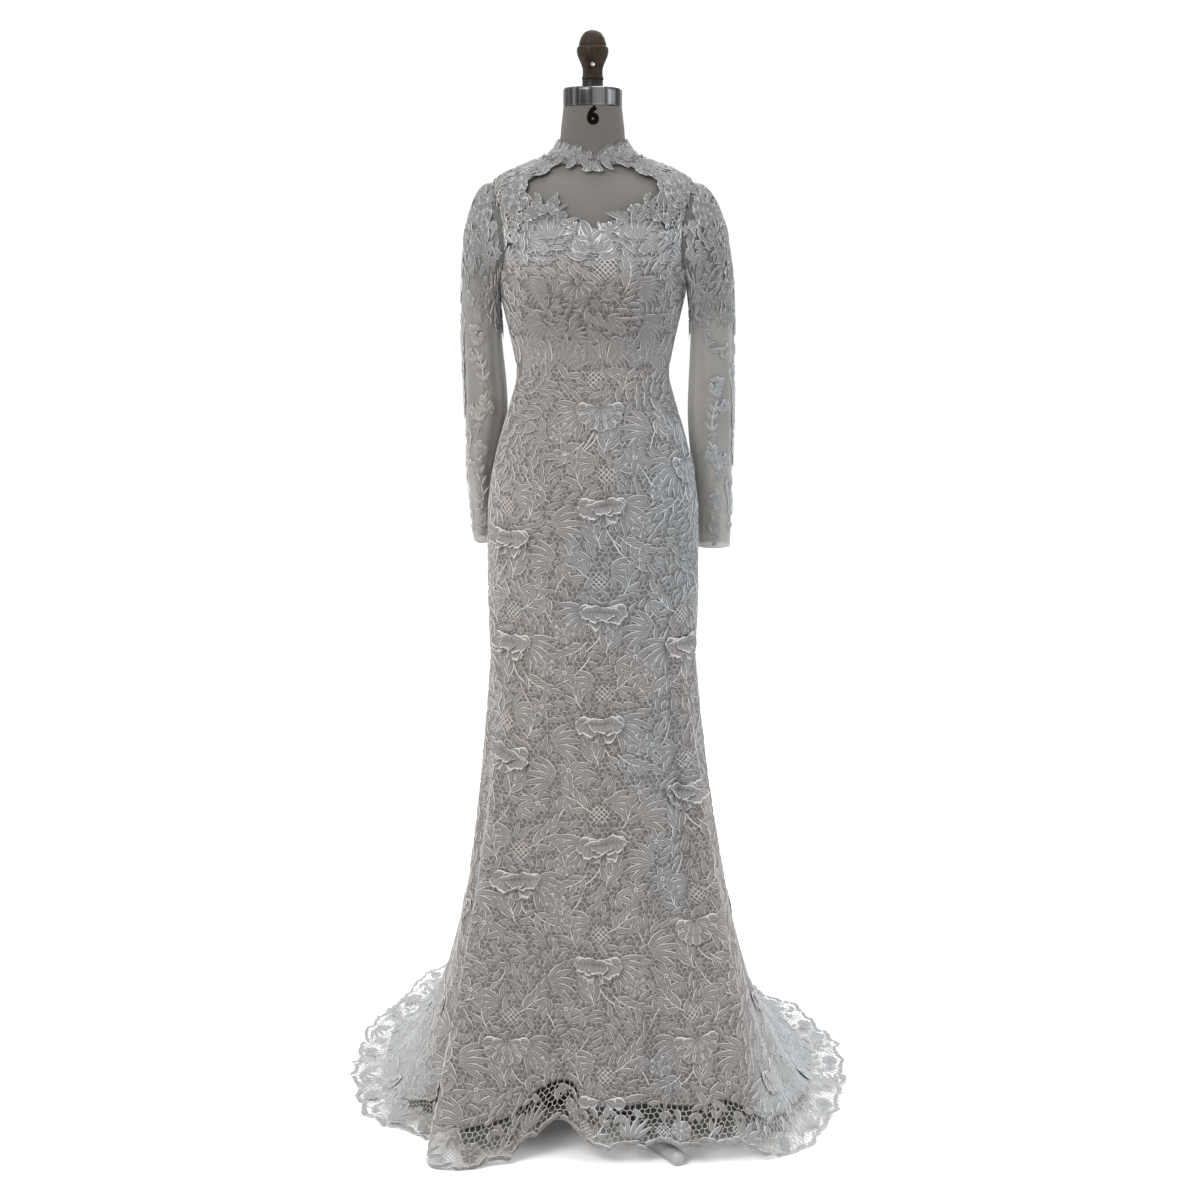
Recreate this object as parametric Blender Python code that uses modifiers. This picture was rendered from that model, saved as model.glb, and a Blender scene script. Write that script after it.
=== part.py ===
"""Lace wedding dress with a short train, worn by a limbless dress form on a plain four-legged stand.

Metres, +Z up, the dress's front faces -Y, the wearer's left is +X. The origin is on the floor, at the
centre of the stand's hub. Angles run round the body in degrees: 0 is the front, 90 the +X side, 180 the back.
"""

import math
from collections import namedtuple

import bmesh
import bpy
import numpy as np
from mathutils import Vector

# Driving sizes of the dress
WALL = 0.0015  # lace on its lining
NET_WALL = 0.0010  # sleeve net
SEAM_GAP = 0.0003
WAIST = 1.220  # height of the waist seam
KNEE = 0.770  # height where the skirt starts to flare
FLOOR_LEVEL = 0.0021  # top of cloth that lies on the floor
HEM_LACE_DEPTH = 0.066  # openwork edging below the lining
SCALLOP = 0.007
SCALLOP_LENGTH = 0.062
BUTTON_COUNT = 13
BUTTON_RADIUS = 0.0055
TOP_BUTTON, BOTTOM_BUTTON = 1.530, 1.240  # heights

# Driving sizes of the form and its stand
FORM_INSET, NECK_INSET = 0.0062, 0.0030  # form surface below the dress's outer surface
FORM_BOTTOM = 0.800
NECK_TOP = 1.608
POLE_RADIUS = 0.0125
HUB_RADIUS, HUB_HEIGHT = 0.036, 0.030
LEG_RADIUS, LEG_REACH = 0.012, 0.252
FIRST_LEG_ANGLE, LEG_COUNT = 33, 4

# Armhole: an oval on the side of the body, and the sleeve's first ring fits in it
ARMHOLE_HEIGHT, ARMHOLE_HALF_HEIGHT = 1.421, 0.076
ARMHOLE_FRONT_ANGLE, ARMHOLE_BACK_ANGLE = 30, 31  # how far it reaches from the side, in degrees
ARMPIT = ARMHOLE_HEIGHT - ARMHOLE_HALF_HEIGHT
SHOULDER_TIP = ARMHOLE_HEIGHT + ARMHOLE_HALF_HEIGHT
ARMHOLE_STEP = 22.5  # degrees round the oval between two wall points
SHOULDER_ROWS = 3
LINING_TURN = -ARMHOLE_STEP  # where the sweetheart line meets the armhole

# Cups: two soft mounds in the front of the bodice
CUP_HEIGHT, CUP_SIDE, CUP_DEPTH = 1.345, 0.066, 0.019
CUP_SPREAD_SIDE, CUP_SPREAD_UP = 0.046, 0.055

Section = namedtuple("Section", "height half_width front back squareness")
BODY = (
    Section(0.770, 0.1610, 0.112, 0.125, 2.10),
    Section(0.860, 0.1640, 0.112, 0.126, 2.10),
    Section(0.980, 0.1630, 0.113, 0.128, 2.10),
    Section(1.045, 0.1575, 0.110, 0.122, 2.10),
    Section(1.110, 0.1430, 0.102, 0.108, 2.10),
    Section(1.170, 0.1250, 0.092, 0.090, 2.10),
    Section(1.210, 0.1160, 0.086, 0.080, 2.10),
    Section(1.240, 0.1200, 0.087, 0.079, 2.10),
    Section(1.290, 0.1310, 0.094, 0.084, 2.10),
    Section(1.345, 0.1430, 0.106, 0.093, 2.15),
    Section(1.400, 0.1480, 0.101, 0.101, 2.20),
    Section(1.450, 0.1545, 0.090, 0.103, 2.10),
    Section(1.480, 0.1560, 0.081, 0.099, 1.85),
    Section(1.497, 0.1520, 0.074, 0.094, 1.60),
    Section(1.507, 0.1430, 0.070, 0.089, 1.45),
    Section(1.516, 0.1220, 0.066, 0.084, 1.40),
    Section(1.525, 0.1000, 0.062, 0.078, 1.50),
    Section(1.534, 0.0790, 0.058, 0.071, 1.75),
    Section(1.543, 0.0630, 0.054, 0.064, 2.00),
    Section(1.556, 0.0540, 0.050, 0.057, 2.00),
    Section(1.580, 0.0505, 0.048, 0.052, 2.00),
    Section(1.609, 0.0470, 0.0465, 0.0475, 2.00),
)

# The hem on the floor. reach is its distance from the pole and lift its height; foot_reach and
# foot_height are the point that the skirt falls towards before it turns out along the floor.
HemPoint = namedtuple("HemPoint", "angle reach lift foot_reach foot_height")
HEM = (
    HemPoint(-180, 0.815, 0.0021, 0.330, 0.0021),
    HemPoint(-171, 0.805, 0.0021, 0.326, 0.0021),
    HemPoint(-162, 0.762, 0.0021, 0.320, 0.0021),
    HemPoint(-153, 0.672, 0.0021, 0.312, 0.0021),
    HemPoint(-133, 0.535, 0.0021, 0.285, 0.0021),
    HemPoint(-105, 0.424, 0.0021, 0.252, 0.0021),
    HemPoint(-82, 0.362, 0.0021, 0.240, 0.0021),
    HemPoint(-67, 0.298, 0.0021, 0.238, 0.0600),
    HemPoint(-50, 0.330, 0.0021, 0.318, 0.1500),
    HemPoint(-33, 0.238, 0.0120, 0.240, 0.2400),
    HemPoint(-26, 0.203, 0.0460, 0.205, 0.2700),
    HemPoint(-16, 0.186, 0.0640, 0.182, 0.3000),
    HemPoint(-9, 0.190, 0.0580, 0.183, 0.3000),
    HemPoint(-4, 0.197, 0.0330, 0.186, 0.2900),
    HemPoint(4, 0.201, 0.0290, 0.189, 0.2800),
    HemPoint(22, 0.215, 0.0330, 0.205, 0.2800),
    HemPoint(33, 0.242, 0.0320, 0.230, 0.2600),
    HemPoint(46, 0.288, 0.0380, 0.270, 0.2300),
    HemPoint(58, 0.352, 0.0021, 0.318, 0.1000),
    HemPoint(83, 0.391, 0.0021, 0.262, 0.0021),
    HemPoint(104, 0.440, 0.0021, 0.262, 0.0021),
    HemPoint(133, 0.538, 0.0021, 0.290, 0.0021),
    HemPoint(144, 0.572, 0.0021, 0.300, 0.0021),
    HemPoint(153, 0.635, 0.0021, 0.312, 0.0021),
    HemPoint(162, 0.738, 0.0021, 0.320, 0.0021),
    HemPoint(171, 0.800, 0.0021, 0.326, 0.0021),
    HemPoint(180, 0.815, 0.0021, 0.330, 0.0021),
)
FIRST_HANDLE_DROP = 0.34  # how far below the knee the skirt keeps its first direction
FIRST_HANDLE_SHARE = 0.30

# Standing folds of the skirt: depth is out from the cloth, spread is the half width in degrees and
# start is the share of the way from knee to hem where the fold begins.
Fold = namedtuple("Fold", "angle depth spread start")
FOLDS = (
    Fold(-172, 0.016, 7, 0.35),
    Fold(-150, 0.013, 6, 0.45),
    Fold(-128, 0.015, 7, 0.30),
    Fold(-106, 0.010, 6, 0.40),
    Fold(-62, -0.012, 8, 0.20),
    Fold(-24, 0.008, 9, 0.25),
    Fold(14, 0.007, 8, 0.35),
    Fold(38, 0.008, 7, 0.25),
    Fold(60, -0.011, 6, 0.10),
    Fold(92, 0.010, 7, 0.40),
    Fold(116, 0.014, 7, 0.30),
    Fold(138, 0.012, 6, 0.45),
    Fold(162, 0.016, 8, 0.35),
)

# Side seams of the skirt: straight below the arm at the hip, further forward at the hem
SEAM_AT_HIP = 90
LEFT_SEAM_AT_HEM, RIGHT_SEAM_AT_HEM = 57, -62  # the wearer's left is +X
SEAM_TURN_START, SEAM_TURN_END = 0.85, 1.75  # run along the skirt, 1 is the knee and 2 the lining's edge
SKIRT_UPPER_ROWS, SKIRT_ROWS = 7, 16
SKIRT_COLUMNS = {"skirt_front": 16, "skirt_back_left": 14, "skirt_back_right": 14}

# Edges of the neck pieces, as heights round the body
EdgePoint = namedtuple("EdgePoint", "angle height")
SWEETHEART = (
    EdgePoint(0, 1.418),
    EdgePoint(13, 1.437),
    EdgePoint(32, 1.459),
    EdgePoint(50, 1.455),
    EdgePoint(70, 1.425),
    EdgePoint(90, ARMHOLE_HEIGHT + ARMHOLE_HALF_HEIGHT * math.sin(math.radians(LINING_TURN))),
)
COLLAR_BOTTOM = (
    EdgePoint(0, 1.5190),
    EdgePoint(36, 1.5235),
    EdgePoint(90, 1.5385),
    EdgePoint(180, 1.5420),
)
COLLAR_TOP = (
    EdgePoint(0, 1.5320),
    EdgePoint(14, 1.5455),
    EdgePoint(34, 1.5520),
    EdgePoint(90, 1.5600),
    EdgePoint(180, 1.5620),
)
COLLAR_BACK_ANGLE = 179.6  # the collar's two ends stop this near the centre back
YOKE_START = 36  # where the yoke's lower edge begins, in the bodice front's even degrees
KEYHOLE_SIDE = (
    EdgePoint(25, 1.4600),
    EdgePoint(38, 1.4760),
    EdgePoint(45, 1.4900),
    EdgePoint(42, 1.5060),
    EdgePoint(36, 1.5232),
)

SleeveSection = namedtuple("SleeveSection", "height centre_x centre_y half_width half_depth")
SLEEVES = {
    "left": (
        SleeveSection(1.270, 0.1840, 0.010, 0.0340, 0.050),
        SleeveSection(1.160, 0.1835, 0.026, 0.0365, 0.046),
        SleeveSection(1.050, 0.1880, 0.048, 0.0320, 0.040),
        SleeveSection(0.985, 0.1915, 0.056, 0.0290, 0.037),
        SleeveSection(0.932, 0.1920, 0.060, 0.0275, 0.034),
    ),
    "right": (
        SleeveSection(1.270, 0.1715, 0.012, 0.0315, 0.050),
        SleeveSection(1.160, 0.1665, 0.033, 0.0340, 0.049),
        SleeveSection(1.100, 0.1710, 0.045, 0.0285, 0.048),
        SleeveSection(1.050, 0.1765, 0.056, 0.0225, 0.046),
        SleeveSection(0.985, 0.1745, 0.066, 0.0200, 0.042),
        SleeveSection(0.940, 0.1730, 0.070, 0.0190, 0.038),
    ),
}
SIDE = {"left": 1, "right": -1}
SLEEVE_HEAD_OUT = {"left": 0.046, "right": 0.040}  # how far the head stands out before it falls
SLEEVE_HEAD_FALL = 0.115
ARMPIT_OUT, ARMPIT_FALL = 0.003, 0.030
SLEEVE_HEAD_ROWS, SLEEVE_ROWS = 5, 13
SHOULDER_LACE_RAISE = 0.0020  # thick lace over the sleeve head and down the outside of the arm
SLEEVE_RING_POINTS = 16

TurnedPoint = namedtuple("TurnedPoint", "radius height")
NECK_CAP = (
    TurnedPoint(0.0000, 1.6362),
    TurnedPoint(0.0405, 1.6362),
    TurnedPoint(0.0430, 1.6350),
    TurnedPoint(0.0442, 1.6325),
    TurnedPoint(0.0445, 1.6095),
    TurnedPoint(0.0440, 1.6088),
    TurnedPoint(0.0000, 1.6088),
)
FERRULE = (
    TurnedPoint(0.0000, 1.6480),
    TurnedPoint(0.0150, 1.6480),
    TurnedPoint(0.0158, 1.6465),
    TurnedPoint(0.0158, 1.6390),
    TurnedPoint(0.0166, 1.6366),
    TurnedPoint(0.0000, 1.6365),
)
FINIAL = (
    TurnedPoint(0.0000, 1.7203),
    TurnedPoint(0.0095, 1.7182),
    TurnedPoint(0.0160, 1.7118),
    TurnedPoint(0.0198, 1.7030),
    TurnedPoint(0.0206, 1.6990),
    TurnedPoint(0.0200, 1.6976),
    TurnedPoint(0.0228, 1.6952),
    TurnedPoint(0.0238, 1.6900),
    TurnedPoint(0.0226, 1.6830),
    TurnedPoint(0.0172, 1.6700),
    TurnedPoint(0.0150, 1.6620),
    TurnedPoint(0.0150, 1.6550),
    TurnedPoint(0.0166, 1.6495),
    TurnedPoint(0.0160, 1.6483),
    TurnedPoint(0.0000, 1.6483),
)
SCREW_HEIGHT, SCREW_RADIUS, SCREW_THICKNESS = 1.6690, 0.0036, 0.0014
SCREW_CLEARANCE, SCREW_TILT = 0.0007, 23  # it sits square on the finial's sloping side

# Loose ruffled petals on the skirt. across and up are shares of the panel, from its -X seam and its hem.
PETAL_WIDTH, PETAL_DROP, PETAL_STAND = 0.080, 0.032, 0.011
PETAL_WAVES = 3
PETAL_WALL, PETAL_CLEARANCE = 0.0011, 0.0010
Petal = namedtuple("Petal", "panel across up")
PETALS = (
    Petal("skirt_front", 0.53, 0.815),
    Petal("skirt_front", 0.53, 0.660),
    Petal("skirt_front", 0.53, 0.500),
    Petal("skirt_front", 0.55, 0.345),
    Petal("skirt_front", 0.55, 0.190),
    Petal("skirt_front", 0.22, 0.765),
    Petal("skirt_front", 0.22, 0.610),
    Petal("skirt_front", 0.22, 0.460),
    Petal("skirt_front", 0.29, 0.300),
    Petal("skirt_front", 0.83, 0.600),
    Petal("skirt_front", 0.80, 0.410),
    Petal("skirt_back_left", 0.30, 0.420),
    Petal("skirt_back_left", 0.62, 0.700),
    Petal("skirt_back_left", 0.62, 0.480),
    Petal("skirt_back_right", 0.70, 0.420),
    Petal("skirt_back_right", 0.38, 0.700),
    Petal("skirt_back_right", 0.38, 0.480),
)


def through(xs, ys):
    """A smooth curve through the points that never swings past them, as a function of x."""
    xs, ys = np.array(xs, float), np.array(ys, float)
    rise = np.diff(ys) / np.diff(xs)
    slope = np.zeros(len(xs))
    slope[1:-1] = np.where(rise[1:] * rise[:-1] > 0, (rise[1:] + rise[:-1]) / 2, 0)
    limit = 3 * np.minimum(np.abs(np.append(rise, rise[-1])), np.abs(np.insert(rise, 0, rise[0])))
    slope = np.clip(slope, -limit, limit)
    slope[0], slope[-1] = rise[0], rise[-1]

    def at(x):
        x = min(max(x, xs[0]), xs[-1])
        i = min(int(np.searchsorted(xs, x, side="right")) - 1, len(xs) - 2)
        step = xs[i + 1] - xs[i]
        t = (x - xs[i]) / step
        curve = (1 + 2 * t) * (1 - t) ** 2 * ys[i] + t * t * (3 - 2 * t) * ys[i + 1]
        return float(curve + step * t * (1 - t) * ((1 - t) * slope[i] - t * slope[i + 1]))

    return at


def column(rows, key, name):
    """One named column of a table, as a smooth function of the key column."""
    return through([getattr(row, key) for row in rows], [getattr(row, name) for row in rows])


def smooth_step(start, end, x):
    t = min(max((x - start) / (end - start), 0.0), 1.0)
    return t * t * (3 - 2 * t)


body_width = column(BODY, "height", "half_width")
body_front = column(BODY, "height", "front")
body_back = column(BODY, "height", "back")
body_squareness = column(BODY, "height", "squareness")
hem_reach = column(HEM, "angle", "reach")
hem_lift = column(HEM, "angle", "lift")
foot_reach = column(HEM, "angle", "foot_reach")
foot_height = column(HEM, "angle", "foot_height")
sweetheart_height = column(SWEETHEART, "angle", "height")
collar_bottom = column(COLLAR_BOTTOM, "angle", "height")
collar_top = column(COLLAR_TOP, "angle", "height")


def direction(angle):
    """Level unit vector from the pole towards an angle."""
    turn = math.radians(angle)
    return Vector((math.sin(turn), -math.cos(turn), 0.0))


def body_point(angle, height):
    """A point of the dress's outer surface between the knee and the neck."""
    way = direction(angle)
    power = 2 / body_squareness(height)
    depth = body_front(height) if way.y <= 0 else body_back(height)
    x = math.copysign(abs(way.x) ** power, way.x) * body_width(height)
    y = math.copysign(abs(way.y) ** power, way.y) * depth
    if y < 0:
        beside = (abs(x) - CUP_SIDE) / CUP_SPREAD_SIDE
        above = (height - CUP_HEIGHT) / CUP_SPREAD_UP
        y -= CUP_DEPTH * math.exp(-beside * beside - above * above) * min(1.0, -y / 0.03)
    return Vector((x, y, height))


def wrapped(angle):
    return (angle + 180) % 360 - 180


lower_curves = {}


def lower_curve(angle):
    """Points and lengths along the line from knee to hem at one angle, before the folds."""
    angle = round(wrapped(angle), 4)
    if angle not in lower_curves:
        knee = body_point(angle, KNEE)
        foot = direction(angle) * foot_reach(angle)
        hem = direction(angle) * hem_reach(angle)
        foot.z, hem.z = foot_height(angle), hem_lift(angle)
        first = knee.lerp(foot, FIRST_HANDLE_SHARE)
        first.z = KNEE - FIRST_HANDLE_DROP
        t = np.linspace(0, 1, 60)[:, None]
        line = (
            (1 - t) ** 3 * np.array(knee)
            + 3 * t * (1 - t) ** 2 * np.array(first)
            + 3 * t * t * (1 - t) * np.array(foot)
            + t**3 * np.array(hem)
        )
        steps = np.linalg.norm(np.diff(line, axis=0), axis=1)
        lower_curves[angle] = line, np.insert(np.cumsum(steps), 0, 0.0)
    return lower_curves[angle]


def lower_length(angle):
    return float(lower_curve(angle)[1][-1])


def lower_point(angle, distance):
    """A point of the skirt, this far below the knee along the cloth, past the hem if distance is longer."""
    line, lengths = lower_curve(angle)
    point = Vector([float(np.interp(distance, lengths, line[:, i])) for i in range(3)])
    beyond = distance - lengths[-1]
    if beyond > 0:
        point += Vector(line[-1] - line[-2]).normalized() * beyond
    return point


def meridian_normal(point_at, angle, where, step):
    """The way out of the cloth in the upright plane through this angle."""
    ahead, behind = point_at(angle, where + step), point_at(angle, where - step)
    along = (ahead - behind).normalized()
    out = Vector((*point_at(angle, where).xy, 0.0)).normalized()
    return (out - along * out.dot(along)).normalized()


def fold_depth(angle, share):
    total = 0.0
    for fold in FOLDS:
        off = wrapped(angle - fold.angle) / fold.spread
        if abs(off) < 3:
            total += fold.depth * math.exp(-off * off) * smooth_step(fold.start, 1.0, share)
    return total


def body_surface(angle, height, out=0.0):
    """The dress above the knee; out is the distance in front of its outer surface."""
    return body_point(angle, height) + meridian_normal(body_point, angle, height, 0.002) * out


def lower_surface(angle, distance, out=0.0):
    """The skirt below the knee with its folds, never under the floor."""
    share = distance / lower_length(angle)
    normal = meridian_normal(lower_point, angle, distance, 0.004)
    point = lower_point(angle, distance) + normal * fold_depth(angle, share)
    point.z = max(point.z, FLOOR_LEVEL)
    return point + normal * out


def skirt_surface(angle, run, out=0.0):
    """The skirt: run goes from 0 at the waist past 1 at the knee to 2 at the lining's edge."""
    if run <= 1:
        return body_surface(angle, WAIST - SEAM_GAP + (KNEE - WAIST + SEAM_GAP) * run, out)
    return lower_surface(angle, (run - 1) * (lower_length(angle) - HEM_LACE_DEPTH), out)


hem_angles = np.arange(-180, 180.5, 1.0)
hem_points = np.array([lower_point(angle, lower_length(angle)) for angle in hem_angles])
hem_walk = np.insert(np.cumsum(np.linalg.norm(np.diff(hem_points, axis=0), axis=1)), 0, 0.0)


def skirt_angle(low, high, share, run):
    """Even degrees across a panel at the hip and even lengths of cloth at the hem."""
    even = low + (high - low) * share
    start, end = np.interp([low, high], hem_angles, hem_walk)
    along_hem = float(np.interp(start + (end - start) * share, hem_walk, hem_angles))
    return even + (along_hem - even) * smooth_step(0.8, 2.0, run)


def armhole_height(turn):
    return ARMHOLE_HEIGHT + ARMHOLE_HALF_HEIGHT * math.sin(math.radians(turn))


def armhole_half_angle(turn, behind):
    reach = ARMHOLE_BACK_ANGLE if behind else ARMHOLE_FRONT_ANGLE
    return reach * math.cos(math.radians(turn))


def seam_gap_angle(height):
    """Half a seam gap at the side of the body, in degrees."""
    return math.degrees(SEAM_GAP / 2 / body_width(height))


# Blender helpers


def clear_scene():
    for old in list(bpy.data.objects):
        bpy.data.objects.remove(old)


def material(name, colour, roughness, metallic=0.0):
    made = bpy.data.materials.new(name)
    made.use_nodes = True
    shader = made.node_tree.nodes["Principled BSDF"]
    shader.inputs["Base Color"].default_value = (*colour, 1.0)
    shader.inputs["Roughness"].default_value = roughness
    shader.inputs["Metallic"].default_value = metallic
    return made


def add_object(name, data, finish):
    made = bpy.data.objects.new(name, data)
    made.data.materials.append(finish)
    dress.objects.link(made)
    return made


def has_gap(column_number, row_number, gaps):
    return gaps is not None and gaps(column_number, row_number)


def facets(place, columns, rows, wall):
    """The cloth of a piece as it is built, with flat facets: a function of u, v and a distance out."""
    grid = []
    for row in range(rows + 1):
        line = []
        for step in range(columns + 1):
            outer, inner = (place(step / columns, row / rows, face) for face in (0, 1))
            line.append((outer, (outer - inner) / wall))
        grid.append(line)

    def at(u, v, out=0.0):
        x, y = min(max(u, 0.0), 1.0) * columns, min(max(v, 0.0), 1.0) * rows
        i, j = min(int(x), columns - 1), min(int(y), rows - 1)
        x, y = x - i, y - j
        corners = (grid[j][i], grid[j][i + 1], grid[j + 1][i], grid[j + 1][i + 1])
        low, right, left, high = [point + way * out for point, way in corners]
        if x + y <= 1:
            return low + (right - low) * x + (left - low) * y
        return high + (left - high) * (1 - x) + (right - high) * (1 - y)

    return at


def add_cloth(
    name, columns, rows, place, finish, gaps=None, gap_margin=0.2, closed=False, missing=None
):
    """A wall of cloth: a flat grid, with gaps cut out, given two faces and then laid on its surface.

    place(u, v, inner) gives the point for u round and v up the piece, from 0 to 1, and inner is 0 on
    the outer face and 1 on the inner one. missing says which cells aren't part of the piece.
    """
    bm = bmesh.new()
    bmesh.ops.create_grid(bm, x_segments=columns, y_segments=rows, size=0.5)
    for vert in bm.verts:
        vert.co = Vector(((vert.co.x + 0.5) * columns, (vert.co.y + 0.5) * rows, 0.0))
    cells = {face: [int(part) for part in face.calc_center_median().xy] for face in bm.faces}
    cut = [face for face, cell in cells.items() if has_gap(*cell, gaps)]
    outside = [face for face, cell in cells.items() if has_gap(*cell, missing)]
    if outside:
        bmesh.ops.delete(bm, geom=outside, context="FACES")
    if cut:
        bmesh.ops.inset_individual(bm, faces=cut, thickness=gap_margin)
        bmesh.ops.delete(bm, geom=cut, context="FACES")
    uncut = [face for face in bm.faces if len(face.verts) == 4]
    diagonals = [
        (max(face.verts, key=lambda v: v.co.x - v.co.y), min(face.verts, key=lambda v: v.co.x - v.co.y))
        for face in uncut
    ]
    for corners in diagonals:
        bmesh.ops.connect_verts(bm, verts=corners)
    if closed:
        first = {round(v.co.y, 3): v for v in bm.verts if v.co.x < 0.001}
        last = [v for v in bm.verts if v.co.x > columns - 0.001]
        bmesh.ops.weld_verts(bm, targetmap={v: first[round(v.co.y, 3)] for v in last})
    grown = bmesh.ops.extrude_face_region(bm, geom=bm.faces[:], use_keep_orig=True)
    for vert in (item for item in grown["geom"] if isinstance(item, bmesh.types.BMVert)):
        vert.co.z = 1.0
    for vert in bm.verts:
        vert.co = place(vert.co.x / columns, vert.co.y / rows, vert.co.z)
    bmesh.ops.recalc_face_normals(bm, faces=bm.faces[:])
    if bm.calc_volume(signed=True) < 0:
        bmesh.ops.reverse_faces(bm, faces=bm.faces[:])
    mesh = bpy.data.meshes.new(name)
    bm.to_mesh(mesh)
    bm.free()
    mesh.shade_smooth()
    mesh.set_sharp_from_angle(angle=math.radians(50))
    return add_object(name, mesh, finish)


def add_turned(name, profile, steps, finish):
    """A solid of revolution round the pole's axis, from a profile that runs down its outer side."""
    mesh = bpy.data.meshes.new(name)
    points = [(row.radius, 0.0, row.height) for row in profile]
    mesh.from_pydata(points, [(i, i + 1) for i in range(len(points) - 1)], [])
    made = add_object(name, mesh, finish)
    screw = made.modifiers.new("Turn", "SCREW")
    screw.steps = screw.render_steps = steps
    screw.use_merge_vertices = True
    screw.merge_threshold = 0.0001
    screw.use_smooth_shade = True
    return made


def add_tube(name, points, radii, radius, finish):
    """A round bar along points, with its thickness scaled by radii."""
    curve = bpy.data.curves.new(name, "CURVE")
    curve.dimensions = "3D"
    curve.bevel_depth = radius
    curve.bevel_resolution = 2
    curve.use_fill_caps = True
    spline = curve.splines.new("POLY")
    spline.points.add(len(points) - 1)
    for target, point, scale in zip(spline.points, points, radii):
        target.co = (*point, 1.0)
        target.radius = scale
    return add_object(name, curve, finish)


# Pieces of the dress


def lace_gap_rows(column_number, row_number):
    """Openwork in clusters between solid flowers, leaving the scalloped edge row whole."""
    return row_number > 0 and (column_number + 2 * row_number) % 7 in (0, 1, 3, 4)


def bodice_front_heights():
    below = [WAIST + (ARMPIT - WAIST) * i / 3 for i in range(3)]
    turns = np.arange(-90, LINING_TURN + 1, ARMHOLE_STEP)
    return below + [armhole_height(turn) for turn in turns], [90] * 3 + [
        90 - armhole_half_angle(turn, False) for turn in turns
    ]


def build_bodice_front():
    heights, edges = bodice_front_heights()
    rows = len(heights) - 1

    def place(u, v, inner):
        row = int(round(v * rows))
        nominal = -90 + 180 * u
        side_share = abs(nominal) / 90
        even = WAIST + (sweetheart_height(abs(nominal)) - WAIST) * v
        height = even + (heights[row] - even) * side_share**4
        edge = edges[row] - seam_gap_angle(height)
        angle = nominal * (1 - (1 - edge / 90) * side_share ** (2 * (1 - v)))
        return body_surface(angle, height, -WALL * inner)

    add_cloth("bodice_front", 20, rows, place, lace)


def shoulder_heights():
    """Heights of the wall points on the shoulder seam, from the sleeve head to the collar."""
    rise = (collar_bottom(90) - SEAM_GAP - SHOULDER_TIP) / SHOULDER_ROWS
    return [SHOULDER_TIP + rise * (i + 1) for i in range(SHOULDER_ROWS)]


def bodice_back_grid(side):
    """From waist to collar, from the side seam and armhole to the centre back."""
    turns = np.arange(-90, 91, ARMHOLE_STEP)
    below = [WAIST + (ARMPIT - WAIST) * i / 3 for i in range(3)]
    heights = below + [armhole_height(turn) for turn in turns]
    edges = [90] * 3 + [90 + armhole_half_angle(turn, True) for turn in turns] + [90] * SHOULDER_ROWS
    heights += shoulder_heights()
    rows = len(heights) - 1

    def place(u, v, inner):
        row = int(round(v * rows))
        share = u if SIDE[side] > 0 else 1 - u
        near = edges[row] + seam_gap_angle(heights[row])
        angle = near + (180 - seam_gap_angle(WAIST) - near) * share
        even = WAIST + (collar_bottom(angle) - SEAM_GAP - WAIST) * v
        height = even + (heights[row] - even) * (1 - share**2) if row < rows else even
        point = body_surface(angle, height, -WALL * inner)
        if heights[row] > SHOULDER_TIP - 0.001 and share == 0:
            point.y = SEAM_GAP / 2
        return Vector((SIDE[side] * point.x, point.y, point.z))

    return place, 8, rows


def build_bodice_back(side):
    place, columns, rows = bodice_back_grid(side)
    add_cloth(f"bodice_back_{side}", columns, rows, place, lace)


def build_yoke(side):
    """Openwork lace from the cup over the shoulder, between the keyhole and the armhole."""
    turns = np.arange(LINING_TURN, 91, ARMHOLE_STEP)
    outer = [EdgePoint(90 - armhole_half_angle(turn, False), armhole_height(turn)) for turn in turns]
    outer += [EdgePoint(90, height) for height in shoulder_heights()]
    rows = len(outer) - 1
    steps = np.linspace(0, 1, len(KEYHOLE_SIDE))
    inner_angle = through(steps, [point.angle for point in KEYHOLE_SIDE])
    inner_height = through(steps, [point.height for point in KEYHOLE_SIDE])

    def place(u, v, inner):
        row = int(round(v * rows))
        share = u if SIDE[side] > 0 else 1 - u
        out = outer[row]
        angle = inner_angle(v) + (out.angle - seam_gap_angle(out.height) - inner_angle(v)) * share
        height = inner_height(v) + (out.height - inner_height(v)) * share
        if row == 0:
            nominal = YOKE_START + (90 - YOKE_START) * share
            height = sweetheart_height(nominal) + SEAM_GAP
            angle = nominal * (out.angle - seam_gap_angle(height)) / 90
        if row == rows:
            height = collar_bottom(angle) - SEAM_GAP
        point = body_surface(angle, height, -WALL * inner)
        if out.height > SHOULDER_TIP - 0.001 and share == 1:
            point.y = -SEAM_GAP / 2
        return Vector((SIDE[side] * point.x, point.y, point.z))

    def gaps(column_number, row_number):
        return 0 < column_number < 5 and 0 < row_number < 7 and (column_number + row_number) % 3 != 0

    add_cloth(f"yoke_front_{side}", 6, rows, place, lace, gaps, 0.22)


def build_collar():
    def place(u, v, inner):
        angle = (2 * u - 1) * COLLAR_BACK_ANGLE
        low, high = collar_bottom(abs(angle)), collar_top(abs(angle))
        wave = 0.0016 * math.cos(math.radians(angle) * 15) * smooth_step(6, 20, abs(angle))
        return body_surface(angle, low + SEAM_GAP + (high + wave - low) * v, -WALL * inner)

    add_cloth("collar", 36, 2, place, lace)


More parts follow.
